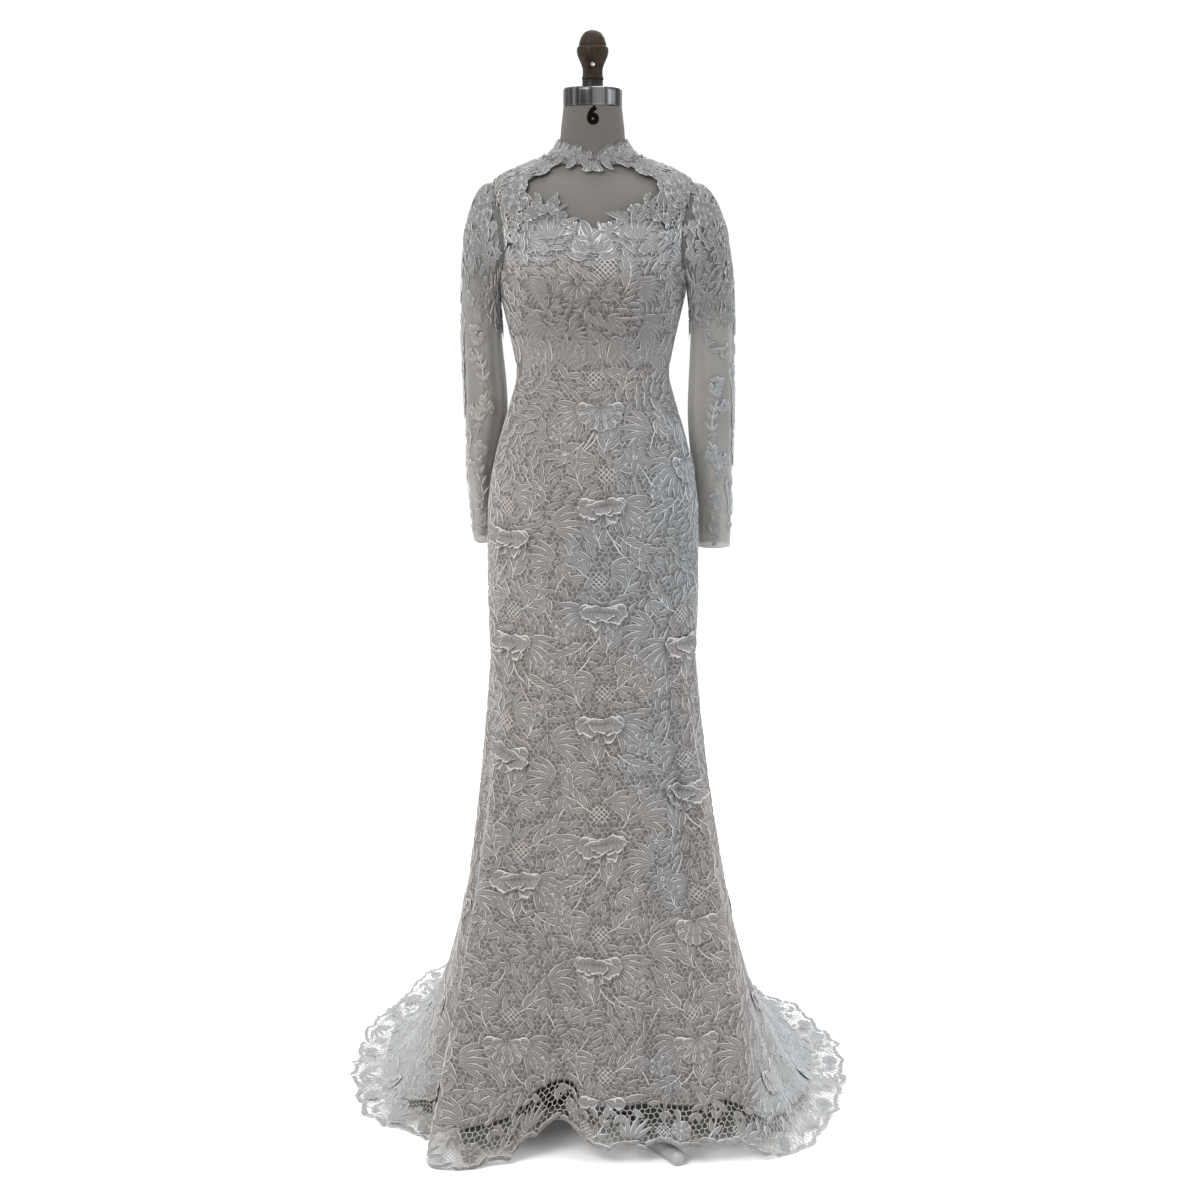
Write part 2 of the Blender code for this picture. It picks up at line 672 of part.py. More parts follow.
def sleeve_point(side, turn, run, out=0.0):
    """A point of the sleeve. turn goes round it: 0 front, 90 outside, 180 back, 270 underarm.

    run goes from 0 at the armhole past 1 at the end of the head to 2 at the cuff.
    """
    sections = SLEEVES[side]
    rise, forward = math.sin(math.radians(turn)), math.cos(math.radians(turn))
    back_reach = ARMHOLE_BACK_ANGLE if forward < 0 else ARMHOLE_FRONT_ANGLE
    fit = 1 - SEAM_GAP * 1.6 / ARMHOLE_HALF_HEIGHT
    start = body_point(90 - back_reach * forward * fit, ARMHOLE_HEIGHT + ARMHOLE_HALF_HEIGHT * rise * fit)
    first = sections[0]

    def tube(height):
        x = column(sections[::-1], "height", "centre_x")(height)
        y = column(sections[::-1], "height", "centre_y")(height)
        half_width = column(sections[::-1], "height", "half_width")(height)
        half_depth = column(sections[::-1], "height", "half_depth")(height)
        return Vector((x + (half_width + out) * rise, y - (half_depth + out) * forward, height))

    if run >= 1:
        point = tube(first.height + (sections[-1].height - first.height) * (run - 1))
    else:
        middle = body_point(90, ARMHOLE_HEIGHT)
        middle.x = start.x
        start = start + (start - middle).normalized() * out
        end = tube(first.height)
        top = (1 + rise) / 2
        head_out = ARMPIT_OUT + (SLEEVE_HEAD_OUT[side] - ARMPIT_OUT) * top
        head_fall = ARMPIT_FALL + (SLEEVE_HEAD_FALL - ARMPIT_FALL) * top
        handle_one = start + Vector((head_out, 0.0, 0.0))
        handle_two = end + Vector((0.0, 0.0, head_fall))
        t = run
        point = (
            start * (1 - t) ** 3
            + handle_one * 3 * t * (1 - t) ** 2
            + handle_two * 3 * t * t * (1 - t)
            + end * t**3
        )
    return Vector((SIDE[side] * point.x, point.y, point.z))


def sleeve_run(v):
    """Rows are close together on the head and even below it."""
    row = (1 - v) * SLEEVE_ROWS
    if row <= SLEEVE_HEAD_ROWS:
        return row / SLEEVE_HEAD_ROWS
    return 1 + (row - SLEEVE_HEAD_ROWS) / (SLEEVE_ROWS - SLEEVE_HEAD_ROWS)


def shoulder_lace_raise(turn, run):
    """How far the outer face stands out where thick lace lies on the net, uneven as its flowers are."""
    outside = max(0.0, math.sin(math.radians(turn)))
    lowest = 0.62 + 0.60 * outside**3
    covered = smooth_step(0.02, 0.10, run) * (1 - smooth_step(lowest - 0.10, lowest + 0.05, run))
    return SHOULDER_LACE_RAISE * covered * (0.75 + 0.25 * math.cos(run * 19 + math.radians(turn * 4)))


def build_sleeve(side):
    def place(u, v, inner):
        turn, run = -90 + 360 * u, sleeve_run(v)
        out = -NET_WALL if inner else shoulder_lace_raise(turn, run)
        return sleeve_point(side, turn, run, out)

    add_cloth(f"sleeve_{side}", SLEEVE_RING_POINTS, SLEEVE_ROWS, place, net, closed=True)


def front_edge(side, run):
    """Angle of the skirt's side seam at a run along the skirt."""
    end = LEFT_SEAM_AT_HEM if SIDE[side] > 0 else RIGHT_SEAM_AT_HEM
    turn = smooth_step(SEAM_TURN_START, SEAM_TURN_END, run)
    return SIDE[side] * SEAM_AT_HIP + (end - SIDE[side] * SEAM_AT_HIP) * turn


def skirt_run(v):
    """Rows are even above the knee and even below it."""
    row = (1 - v) * SKIRT_ROWS
    if row <= SKIRT_UPPER_ROWS:
        return row / SKIRT_UPPER_ROWS
    return 1 + (row - SKIRT_UPPER_ROWS) / (SKIRT_ROWS - SKIRT_UPPER_ROWS)


def skirt_panel(panel):
    """Angles of a panel's two seams, from -X to +X round the front or the back, as a function of run."""
    gap = seam_gap_angle(KNEE)
    if panel == "skirt_front":
        return lambda run: (front_edge("right", run) + gap, front_edge("left", run) - gap)
    if panel == "skirt_back_left":
        return lambda run: (front_edge("left", run) + gap, 180 - gap)
    return lambda run: (-180 + gap, front_edge("right", run) - gap)


def skirt_place(panel):
    edges = skirt_panel(panel)

    def place(u, v, inner):
        run = skirt_run(v)
        return skirt_surface(skirt_angle(*edges(run), u, run), run, -WALL * inner)

    return place


def build_skirt():
    for panel, columns in SKIRT_COLUMNS.items():
        add_cloth(panel, columns, SKIRT_ROWS, skirt_place(panel), lace)


def build_hem_lace(name, panel, columns_each, rows=3):
    """Openwork edging with a scalloped outer edge, sewn to one panel's lower edge."""
    columns = SKIRT_COLUMNS[panel] * columns_each
    edges = skirt_panel(panel)(2)
    on_skirt = facets(skirt_place(panel), SKIRT_COLUMNS[panel], SKIRT_ROWS, WALL)

    def place(u, v, inner):
        angle = skirt_angle(*edges, u, 2)
        along = float(np.interp(angle, hem_angles, hem_walk))
        scallop = SCALLOP * math.cos(2 * math.pi * along / SCALLOP_LENGTH) * (1 - v)
        distance = lower_length(angle) - HEM_LACE_DEPTH * v
        seam = lower_length(angle) - HEM_LACE_DEPTH
        level, beyond = lower_surface(angle, seam, -WALL * inner), lower_surface(angle, seam + 0.004)
        down = (beyond - lower_surface(angle, seam)).normalized()
        to_facet = on_skirt(u, 0, -WALL * inner) + down * SEAM_GAP * 1.6 - level
        return lower_surface(angle, distance + scallop, -WALL * inner) + to_facet * v * v

    add_cloth(name, columns, rows, place, openwork, lace_gap_rows, 0.19)


def build_buttons():
    """Covered buttons down the centre back, each a low dome just clear of the cloth."""
    on_back = facets(*bodice_back_grid("left"), WALL)
    top = collar_bottom(180) - SEAM_GAP
    for number in range(BUTTON_COUNT):
        height = TOP_BUTTON + (BOTTOM_BUTTON - TOP_BUTTON) * number / (BUTTON_COUNT - 1)
        normal = meridian_normal(body_point, 180, height, 0.002)
        base = on_back(1, (height - WAIST) / (top - WAIST), 0.0005)
        base.x = 0.0
        bm = bmesh.new()
        bmesh.ops.create_cone(
            bm, cap_ends=True, segments=8, radius1=BUTTON_RADIUS, radius2=BUTTON_RADIUS * 0.62, depth=0.0028
        )
        bmesh.ops.translate(bm, verts=bm.verts, vec=(0, 0, 0.0014))
        mesh = bpy.data.meshes.new(f"button_{number + 1:02d}")
        bm.to_mesh(mesh)
        bm.free()
        made = add_object(mesh.name, mesh, satin)
        made.location = base
        made.rotation_mode = "QUATERNION"
        made.rotation_quaternion = normal.to_track_quat("Z", "Y")


def build_petals():
    """Ruffled petals: each is sewn along its top edge, and its lower edge stands off the skirt in waves."""
    panels = {
        panel: facets(skirt_place(panel), columns, SKIRT_ROWS, WALL)
        for panel, columns in SKIRT_COLUMNS.items()
    }
    for number, petal in enumerate(PETALS, 1):
        on_skirt = panels[petal.panel]
        wide = (on_skirt(petal.across + 0.02, petal.up) - on_skirt(petal.across - 0.02, petal.up)).length / 0.04
        tall = (on_skirt(petal.across, petal.up + 0.01) - on_skirt(petal.across, petal.up - 0.01)).length / 0.02

        def place(u, v, inner):
            across = petal.across + (u - 0.5) * PETAL_WIDTH / wide
            rounding = 0.55 + 0.45 * (1 - (2 * u - 1) ** 4)
            down = (1 - v) * PETAL_DROP * rounding + 0.004 * (2 * u - 1) ** 2
            wave = 0.6 + 0.4 * math.cos(2 * math.pi * PETAL_WAVES * u)
            stand = PETAL_STAND * (1 - v) ** 1.5 * wave
            out = PETAL_CLEARANCE + stand + PETAL_WALL * (1 - inner)
            return on_skirt(across, petal.up - down / tall, out)

        add_cloth(f"petal_{number:02d}", 6, 2, place, lace)


# The dress form and its stand


def build_form():
    """Linen-covered torso and neck, just inside the dress, closed at its foot and neck."""
    heights = [FORM_BOTTOM, 0.90, 0.98, 1.05, 1.11, 1.165, 1.21, 1.25, 1.30, 1.345, 1.39, 1.44, 1.475]
    heights += [1.497, 1.509, 1.518, 1.527, 1.536, 1.546, 1.565, NECK_TOP]
    ring_points = 36
    bm = bmesh.new()
    rings = []
    for height in heights:
        angles = (360 * i / ring_points for i in range(ring_points))
        inset = FORM_INSET + (NECK_INSET - FORM_INSET) * smooth_step(1.52, 1.56, height)
        rings.append([bm.verts.new(body_surface(angle, height, -inset)) for angle in angles])
    for vert in rings[0]:
        vert.co.z = FORM_BOTTOM
    for vert in rings[-1]:
        vert.co.z = NECK_TOP
    loops = []
    for ring in rings:
        loops.append([bm.edges.new((ring[i - 1], ring[i])) for i in range(ring_points)])
    for lower, upper in zip(loops, loops[1:]):
        bmesh.ops.bridge_loops(bm, edges=lower + upper)
    bmesh.ops.contextual_create(bm, geom=loops[0])
    bmesh.ops.contextual_create(bm, geom=loops[-1])
    bmesh.ops.recalc_face_normals(bm, faces=bm.faces[:])
    mesh = bpy.data.meshes.new("form_torso")
    bm.to_mesh(mesh)
    bm.free()
    mesh.shade_smooth()
    mesh.set_sharp_from_angle(angle=math.radians(50))
    add_object("form_torso", mesh, linen)


def add_cylinder(name, radius, low, high, segments, finish):
    bm = bmesh.new()
    bmesh.ops.create_cone(
        bm, cap_ends=True, segments=segments, radius1=radius, radius2=radius, depth=high - low
    )
    mesh = bpy.data.meshes.new(name)
    bm.to_mesh(mesh)
    bm.free()
    made = add_object(name, mesh, finish)
    made.location = (0.0, 0.0, (low + high) / 2)
    return made


def build_stand():
    add_cylinder("stand_hub", HUB_RADIUS, 0.0, HUB_HEIGHT, 24, grey_paint)
    add_cylinder("pole", POLE_RADIUS, HUB_HEIGHT + SEAM_GAP, FORM_BOTTOM - SEAM_GAP, 16, steel)
    for number in range(LEG_COUNT):
        way = direction(FIRST_LEG_ANGLE + 360 / LEG_COUNT * number)
        reaches = (HUB_RADIUS + SEAM_GAP, LEG_REACH - 0.010, LEG_REACH - 0.003, LEG_REACH)
        points = [way * reach + Vector((0, 0, LEG_RADIUS)) for reach in reaches]
        add_tube(f"stand_leg_{number + 1}", points, (1.0, 1.0, 0.78, 0.40), LEG_RADIUS, grey_paint)


def build_neck_fittings():
    add_turned("neck_cap", NECK_CAP, 28, steel)
    add_turned("finial_ferrule", FERRULE, 16, black_paint)
    add_turned("finial", FINIAL, 16, dark_wood)
    finial_radius = through(
        [row.height for row in FINIAL[-2:0:-1]], [row.radius for row in FINIAL[-2:0:-1]]
    )(SCREW_HEIGHT)
    screw = add_cylinder("finial_screw", SCREW_RADIUS, 0.0, SCREW_THICKNESS, 10, steel)
    out = finial_radius + SCREW_CLEARANCE + SCREW_THICKNESS / 2
    screw.location = (0.0, -out, SCREW_HEIGHT - SCREW_CLEARANCE * 0.4)
    screw.rotation_euler.x = math.radians(90 + SCREW_TILT)


clear_scene()
dress = bpy.data.collections.new("Wedding dress on a dress form")
bpy.context.scene.collection.children.link(dress)
lace = material("ivory lace on lining", (0.72, 0.70, 0.68), 0.85)
openwork = material("ivory openwork lace", (0.74, 0.72, 0.70), 0.85)
net = material("sheer net", (0.62, 0.59, 0.55), 0.80)
satin = material("covered button satin", (0.76, 0.74, 0.71), 0.45)
linen = material("form linen", (0.36, 0.33, 0.30), 0.85)
steel = material("brushed steel", (0.55, 0.55, 0.55), 0.30, 1.0)
black_paint = material("black paint", (0.02, 0.02, 0.02), 0.35)
dark_wood = material("dark stained wood", (0.10, 0.07, 0.045), 0.45)
grey_paint = material("light grey paint", (0.50, 0.50, 0.50), 0.50)

build_bodice_front()
for wearer_side in SIDE:
    build_bodice_back(wearer_side)
    build_yoke(wearer_side)
    build_sleeve(wearer_side)
build_collar()
build_skirt()
build_hem_lace("hem_lace_front", "skirt_front", 2)
build_hem_lace("train_lace_right", "skirt_back_right", 3)
build_hem_lace("train_lace_left", "skirt_back_left", 3)
build_buttons()
build_petals()
build_form()
build_neck_fittings()
build_stand()
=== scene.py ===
import bpy, bmesh, math
import numpy as np
from mathutils import Matrix, Vector


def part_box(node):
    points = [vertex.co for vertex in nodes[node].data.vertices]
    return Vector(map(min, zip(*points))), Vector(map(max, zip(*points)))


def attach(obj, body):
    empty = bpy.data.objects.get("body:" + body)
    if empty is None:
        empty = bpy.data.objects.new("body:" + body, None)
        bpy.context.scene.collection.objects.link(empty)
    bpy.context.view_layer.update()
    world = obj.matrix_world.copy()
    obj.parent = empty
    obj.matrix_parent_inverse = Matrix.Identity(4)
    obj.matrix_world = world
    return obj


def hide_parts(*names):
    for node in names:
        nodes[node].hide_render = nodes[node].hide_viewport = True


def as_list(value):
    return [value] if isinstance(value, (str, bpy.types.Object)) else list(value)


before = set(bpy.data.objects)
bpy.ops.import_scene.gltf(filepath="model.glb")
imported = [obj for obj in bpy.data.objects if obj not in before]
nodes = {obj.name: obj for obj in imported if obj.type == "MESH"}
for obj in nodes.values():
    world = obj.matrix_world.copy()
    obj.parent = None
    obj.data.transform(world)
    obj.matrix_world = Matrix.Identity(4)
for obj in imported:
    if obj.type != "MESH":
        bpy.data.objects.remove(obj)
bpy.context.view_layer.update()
print("frame loaded")

# sizes of the dress, in metres
dress = {
    "waist": 1.220, "knee": 0.770, "floorLevel": 0.0021, "hemLace": 0.066, "seamGap": 0.0003,
    "cupHeight": 1.345, "cupSide": 0.066, "cupDepth": 0.019, "cupSpreadSide": 0.046, "cupSpreadUp": 0.055,
    "armholeHeight": 1.421, "armholeHalfHeight": 0.076, "armholeFront": 30, "armholeBack": 31,
    "firstHandleDrop": 0.34, "firstHandleShare": 0.30, "seamAtHip": 90, "leftSeamAtHem": 57,
    "rightSeamAtHem": -62, "seamTurnStart": 0.85, "seamTurnEnd": 1.75,
}
bodyRings = {
    "height": [0.770, 0.860, 0.980, 1.045, 1.110, 1.170, 1.210, 1.240, 1.290, 1.345, 1.400, 1.450, 1.480, 1.497,
               1.507, 1.516, 1.525, 1.534, 1.543, 1.556, 1.580, 1.609],
    "halfWidth": [0.1610, 0.1640, 0.1630, 0.1575, 0.1430, 0.1250, 0.1160, 0.1200, 0.1310, 0.1430, 0.1480, 0.1545,
                  0.1560, 0.1520, 0.1430, 0.1220, 0.1000, 0.0790, 0.0630, 0.0540, 0.0505, 0.0470],
    "front": [0.112, 0.112, 0.113, 0.110, 0.102, 0.092, 0.086, 0.087, 0.094, 0.106, 0.101, 0.090, 0.081, 0.074,
              0.070, 0.066, 0.062, 0.058, 0.054, 0.050, 0.048, 0.0465],
    "back": [0.125, 0.126, 0.128, 0.122, 0.108, 0.090, 0.080, 0.079, 0.084, 0.093, 0.101, 0.103, 0.099, 0.094,
             0.089, 0.084, 0.078, 0.071, 0.064, 0.057, 0.052, 0.0475],
    "squareness": [2.10, 2.10, 2.10, 2.10, 2.10, 2.10, 2.10, 2.10, 2.10, 2.15, 2.20, 2.10, 1.85, 1.60,
                   1.45, 1.40, 1.50, 1.75, 2.00, 2.00, 2.00, 2.00],
}
hemLine = {
    "angle": [-180, -171, -162, -153, -133, -105, -82, -67, -50, -33, -26, -16, -9, -4, 4, 22, 33, 46, 58, 83, 104,
              133, 144, 153, 162, 171, 180],
    "reach": [0.815, 0.805, 0.762, 0.672, 0.535, 0.424, 0.362, 0.298, 0.330, 0.238, 0.203, 0.186, 0.190, 0.197,
              0.201, 0.215, 0.242, 0.288, 0.352, 0.391, 0.440, 0.538, 0.572, 0.635, 0.738, 0.800, 0.815],
    "lift": [0.0021, 0.0021, 0.0021, 0.0021, 0.0021, 0.0021, 0.0021, 0.0021, 0.0021, 0.0120, 0.0460, 0.0640,
             0.0580, 0.0330, 0.0290, 0.0330, 0.0320, 0.0380, 0.0021, 0.0021, 0.0021, 0.0021, 0.0021, 0.0021,
             0.0021, 0.0021, 0.0021],
    "footReach": [0.330, 0.326, 0.320, 0.312, 0.285, 0.252, 0.240, 0.238, 0.318, 0.240, 0.205, 0.182, 0.183, 0.186,
                  0.189, 0.205, 0.230, 0.270, 0.318, 0.262, 0.262, 0.290, 0.300, 0.312, 0.320, 0.326, 0.330],
    "footHeight": [0.0021, 0.0021, 0.0021, 0.0021, 0.0021, 0.0021, 0.0021, 0.0600, 0.1500, 0.2400, 0.2700, 0.3000,
                   0.3000, 0.2900, 0.2800, 0.2800, 0.2600, 0.2300, 0.1000, 0.0021, 0.0021, 0.0021, 0.0021, 0.0021,
                   0.0021, 0.0021, 0.0021],
}
skirtFolds = {
    "angle": [-172, -150, -128, -106, -62, -24, 14, 38, 60, 92, 116, 138, 162],
    "depth": [0.016, 0.013, 0.015, 0.010, -0.012, 0.008, 0.007, 0.008, -0.011, 0.010, 0.014, 0.012, 0.016],
    "spread": [7, 6, 7, 6, 8, 9, 8, 7, 6, 7, 7, 6, 8],
    "start": [0.35, 0.45, 0.30, 0.40, 0.20, 0.25, 0.35, 0.25, 0.10, 0.40, 0.30, 0.45, 0.35],
}
skirtCreases = {  # soft troughs and ridges laid over the big folds; t is metres below the waist
    "angle": [-78, -55, -41, -30, -12, 3, 27, 45, 36, 55, 76, 101, 127, 149, -95, -117, -139, -161, -8, 22, 31, 20],
    "t": [0.95, 1.02, 0.98, 0.78, 1.06, 1.05, 1.03, 0.78, 0.80, 0.74, 0.80, 0.90, 1.05, 1.10, 0.92, 1.0, 1.1, 1.2,
          0.60, 0.42, 0.98, 0.86],
    "depth": [0.004, -0.005, 0.004, 0.003, -0.004, 0.005, -0.005, -0.0085, 0.0045, 0.0070, 0.004, -0.004, 0.005,
              -0.004, -0.004, 0.005, -0.004, 0.005, 0.002, -0.002, -0.004, 0.003],
    "across": [6, 4, 4, 5, 4, 4, 4, 3.6, 4.0, 4.5, 5, 5, 5, 5, 5, 5, 5, 5, 7, 8, 3.5, 4],
    "along": [0.25, 0.20, 0.20, 0.30, 0.13, 0.14, 0.16, 0.36, 0.34, 0.34, 0.30, 0.25, 0.25, 0.3, 0.25, 0.25, 0.25,
              0.3, 0.12, 0.10, 0.12, 0.12],
}
sleeveRings = {
    "left": {"height": [1.270, 1.160, 1.050, 0.985, 0.932], "x": [0.1840, 0.1835, 0.1880, 0.1915, 0.1920],
             "y": [0.010, 0.026, 0.048, 0.056, 0.060], "halfWidth": [0.0340, 0.0365, 0.0320, 0.0290, 0.0275],
             "halfDepth": [0.050, 0.046, 0.040, 0.037, 0.034], "headOut": 0.046},
    "right": {"height": [1.270, 1.160, 1.100, 1.050, 0.985, 0.940],
              "x": [0.1715, 0.1665, 0.1710, 0.1765, 0.1745, 0.1730], "y": [0.012, 0.033, 0.045, 0.056, 0.066, 0.070],
              "halfWidth": [0.0315, 0.0340, 0.0285, 0.0225, 0.0200, 0.0190],
              "halfDepth": [0.050, 0.049, 0.048, 0.046, 0.042, 0.038], "headOut": 0.040},
}
sideSign = {"left": 1, "right": -1}


def smoothCurve(xs, ys):
    # a curve through the points that never swings past them
    xs, ys = np.array(xs, float), np.array(ys, float)
    rise = np.diff(ys) / np.diff(xs)
    slope = np.zeros(len(xs))
    slope[1:-1] = np.where(rise[1:] * rise[:-1] > 0, (rise[1:] + rise[:-1]) / 2, 0)
    limit = 3 * np.minimum(np.abs(np.append(rise, rise[-1])), np.abs(np.insert(rise, 0, rise[0])))
    slope = np.clip(slope, -limit, limit)
    slope[0], slope[-1] = rise[0], rise[-1]

    def at(x):
        x = np.clip(np.asarray(x, float), xs[0], xs[-1])
        i = np.clip(np.searchsorted(xs, x, side="right") - 1, 0, len(xs) - 2)
        step = xs[i + 1] - xs[i]
        s = (x - xs[i]) / step
        curve = (1 + 2 * s) * (1 - s) ** 2 * ys[i] + s * s * (3 - 2 * s) * ys[i + 1]
        return curve + step * s * (1 - s) * ((1 - s) * slope[i] - s * slope[i + 1])
    return at


def ramp(start, end, x):
    s = np.clip((np.asarray(x, float) - start) / (end - start), 0, 1)
    return s * s * (3 - 2 * s)


ring = {key: smoothCurve(bodyRings["height"], bodyRings[key]) for key in bodyRings if key != "height"}
hem = {key: smoothCurve(hemLine["angle"], hemLine[key]) for key in hemLine if key != "angle"}


def wayOut(angle):
    turn = np.radians(angle)
    return np.stack([np.sin(turn), -np.cos(turn), np.zeros_like(turn)], -1)


def bodyPoint(angle, height):
    angle, height = np.broadcast_arrays(np.asarray(angle, float), np.asarray(height, float))
    way = wayOut(angle)
    power = 2 / ring["squareness"](height)
    depth = np.where(way[..., 1] <= 0, ring["front"](height), ring["back"](height))
    x = np.sign(way[..., 0]) * np.abs(way[..., 0]) ** power * ring["halfWidth"](height)
    y = np.sign(way[..., 1]) * np.abs(way[..., 1]) ** power * depth
    beside = (np.abs(x) - dress["cupSide"]) / dress["cupSpreadSide"]
    above = (height - dress["cupHeight"]) / dress["cupSpreadUp"]
    cup = dress["cupDepth"] * np.exp(-beside * beside - above * above) * np.clip(-y / 0.03, 0, 1)
    return np.stack([x, y - cup, height], -1)


def unit(v):
    return v / np.maximum(np.linalg.norm(v, axis=-1, keepdims=True), 1e-12)


def wrapped(angle):
    return (angle + 180) % 360 - 180


def walked(rows):
    # distance walked along each row of points
    steps = np.linalg.norm(np.diff(rows, axis=1), axis=2)
    return np.concatenate([np.zeros((len(rows), 1)), np.cumsum(steps, 1)], 1)


# one map of the whole dress: a row for each angle round the body, a column for each distance t below the waist
clothStep, clothTop, clothEnd = 0.006, -0.44, 2.02
mapAngles = np.arange(-180, 181, 1.0)
mapPlan = {"top": 1.60, "above": 110, "below": 80, "curve": 90, "beyond": (0.012, 0.03, 0.06)}


def makeClothMap():
    heights = np.concatenate([np.linspace(mapPlan["top"], dress["waist"], mapPlan["above"]),
                              np.linspace(dress["waist"], dress["knee"], mapPlan["below"])[1:]])
    upper = bodyPoint(mapAngles[:, None], heights[None, :])
    climb = walked(upper)
    upperT = climb - climb[:, mapPlan["above"] - 1:mapPlan["above"]]
    way = wayOut(mapAngles)
    knee = upper[:, -1]
    foot, edge = way * hem["footReach"](mapAngles)[:, None], way * hem["reach"](mapAngles)[:, None]
    foot[:, 2], edge[:, 2] = hem["footHeight"](mapAngles), hem["lift"](mapAngles)
    first = knee + (foot - knee) * dress["firstHandleShare"]
    first[:, 2] = dress["knee"] - dress["firstHandleDrop"]
    s = np.linspace(0, 1, mapPlan["curve"])[None, :, None]
    k, f1, f2, e = (p[:, None, :] for p in (knee, first, foot, edge))
    line = (1 - s) ** 3 * k + 3 * s * (1 - s) ** 2 * f1 + 3 * s * s * (1 - s) * f2 + s**3 * e
    run = walked(line)
    total = run[:, -1].copy()
    last = unit(line[:, -1] - line[:, -2])
    for beyond in mapPlan["beyond"]:
        line = np.concatenate([line, (edge + last * beyond)[:, None]], 1)
        run = np.concatenate([run, (total + beyond)[:, None]], 1)
    along = unit(np.gradient(line, axis=1))
    out = unit(line * (1, 1, 0))
    normal = unit(out - along * (out * along).sum(-1, keepdims=True))
    share = run / total[:, None]
    depth = np.zeros_like(share)
    for angle, high, spread, start in zip(*skirtFolds.values()):
        off = wrapped(mapAngles - angle) / spread
        depth += high * np.exp(-off * off)[:, None] * ramp(start, 1, share)
    line = line + normal * depth[..., None]
    lowerT = upperT[:, -1:] + run
    ts = np.arange(clothTop, clothEnd, clothStep)
    points = np.empty((len(mapAngles), len(ts), 3))
    for i in range(len(mapAngles)):
        t = np.concatenate([upperT[i], lowerT[i, 1:]])
        p = np.concatenate([upper[i], line[i, 1:]])
        for axis in range(3):
            points[i, :, axis] = np.interp(ts, t, p[:, axis])
    normals = unit(np.cross(np.gradient(points, axis=1), np.gradient(points, axis=0)))
    for angle, t, high, wide, tall in zip(*skirtCreases.values()):
        off, low = wrapped(mapAngles - angle)[:, None] / wide, (ts[None, :] - t) / tall
        points += normals * (high * np.exp(-off * off - low * low))[..., None]
    points[..., 2] = np.maximum(points[..., 2], dress["floorLevel"])
    points[-1] = points[0]
    across = np.gradient(np.concatenate([points[-3:-1], points, points[1:3]], 0), axis=0)[2:-2]
    normals = unit(np.cross(np.gradient(points, axis=1), across))
    flat = np.linalg.norm(np.gradient(points, axis=1), axis=2) < 1e-5
    normals[flat] = (0, 0, 1)
    return points, normals, upperT, heights, upperT[:, -1], total


clothPoints, clothNormals, upperT, upperHeights, kneeT, lowerLength = makeClothMap()


def lookUp(grid, angle, t):
    x = (np.asarray(angle, float) + 180) % 360
    y = np.clip((np.asarray(t, float) - clothTop) / clothStep, 0, grid.shape[1] - 1.001)
    i, j = x.astype(int), y.astype(int)
    a, b = (x - i)[..., None], (y - j)[..., None]
    low = grid[i, j] * (1 - a) + grid[i + 1, j] * a
    high = grid[i, j + 1] * (1 - a) + grid[i + 1, j + 1] * a
    return low * (1 - b) + high * b


def onCloth(angle, t, out=0.0):
    out = np.asarray(out, float)[..., None]
    point = lookUp(clothPoints, angle, t)
    point[..., 2] = np.maximum(point[..., 2], dress["floorLevel"])
    return point + unit(lookUp(clothNormals, angle, t)) * out


def byAngle(values, angle):
    return np.interp((np.asarray(angle, float) + 180) % 360, np.arange(361), values)


def tAt(angle, height):
    # distance along the cloth of a height above the knee
    angle, height = np.broadcast_arrays(np.asarray(angle, float), np.asarray(height, float))
    i = ((angle + 180) % 360).astype(int)
    flat = [np.interp(-h, -upperHeights, upperT[k]) for k, h in zip(i.ravel(), height.ravel())]
    return np.array(flat).reshape(angle.shape)


def perDegree(angle, t):
    return np.linalg.norm(onCloth(angle + 1, t) - onCloth(angle - 1, t), axis=-1) / 2


hemPoints = onCloth(mapAngles, kneeT + lowerLength)
hemWalk = walked(hemPoints[None])[0]
print("cloth map made, hem", round(float(hemWalk[-1]), 3), "m round")


# finishes; the colours from warm to glint are painted light and shade
clothColours = {
    "cord": (0.61, 0.60, 0.585), "cordShade": (0.160, 0.151, 0.143), "lining": (0.116, 0.107, 0.100),
    "net": (0.335, 0.323, 0.312), "sleeve": (0.188, 0.180, 0.164), "linen": (0.089, 0.083, 0.075),
    "warm": (0.689, 0.646, 0.626), "cool": (0.610, 0.662, 0.709), "train": (0.720, 0.748, 0.773),
    "bust": (0.800, 0.842, 0.892), "shoulder": (0.500, 0.516, 0.528), "waist": (0.576, 0.570, 0.573),
    "pale": (0.345, 0.354, 0.360), "glint": (0.905, 0.955, 1.010),
}
fullTurn = 2 * math.pi


def shaded(colour, *shares):
    # a colour made darker or lighter, by one share or by one for each channel
    return tuple(c * share for c, share in zip(colour, shares * 3 if len(shares) == 1 else shares))


def nodeGroup(name, inputs, outputs):
    group = bpy.data.node_groups.new(name, "ShaderNodeTree")
    for label, value in {"Vector": (0, 0, 0), **inputs}.items():
        kind = "NodeSocketVector" if label == "Vector" else "NodeSocketFloat"
        group.interface.new_socket(label, in_out="INPUT", socket_type=kind).default_value = value
    for label in outputs:
        kind = "NodeSocketColor" if label == "Tint" else "NodeSocketFloat"
        group.interface.new_socket(label, in_out="OUTPUT", socket_type=kind)
    return group, group.nodes.new("NodeGroupInput").outputs, group.nodes.new("NodeGroupOutput").inputs


def fill(tree, sockets, values):
    # sets each socket to a number or colour, or links it to another socket
    for socket, value in zip(sockets, values):
        if isinstance(value, (int, float)):
            socket.default_value = value
        elif isinstance(value, tuple):
            socket.default_value = (*value, 1.0) if len(socket.default_value) == 4 else value
        elif value is not None:
            tree.links.new(value, socket)


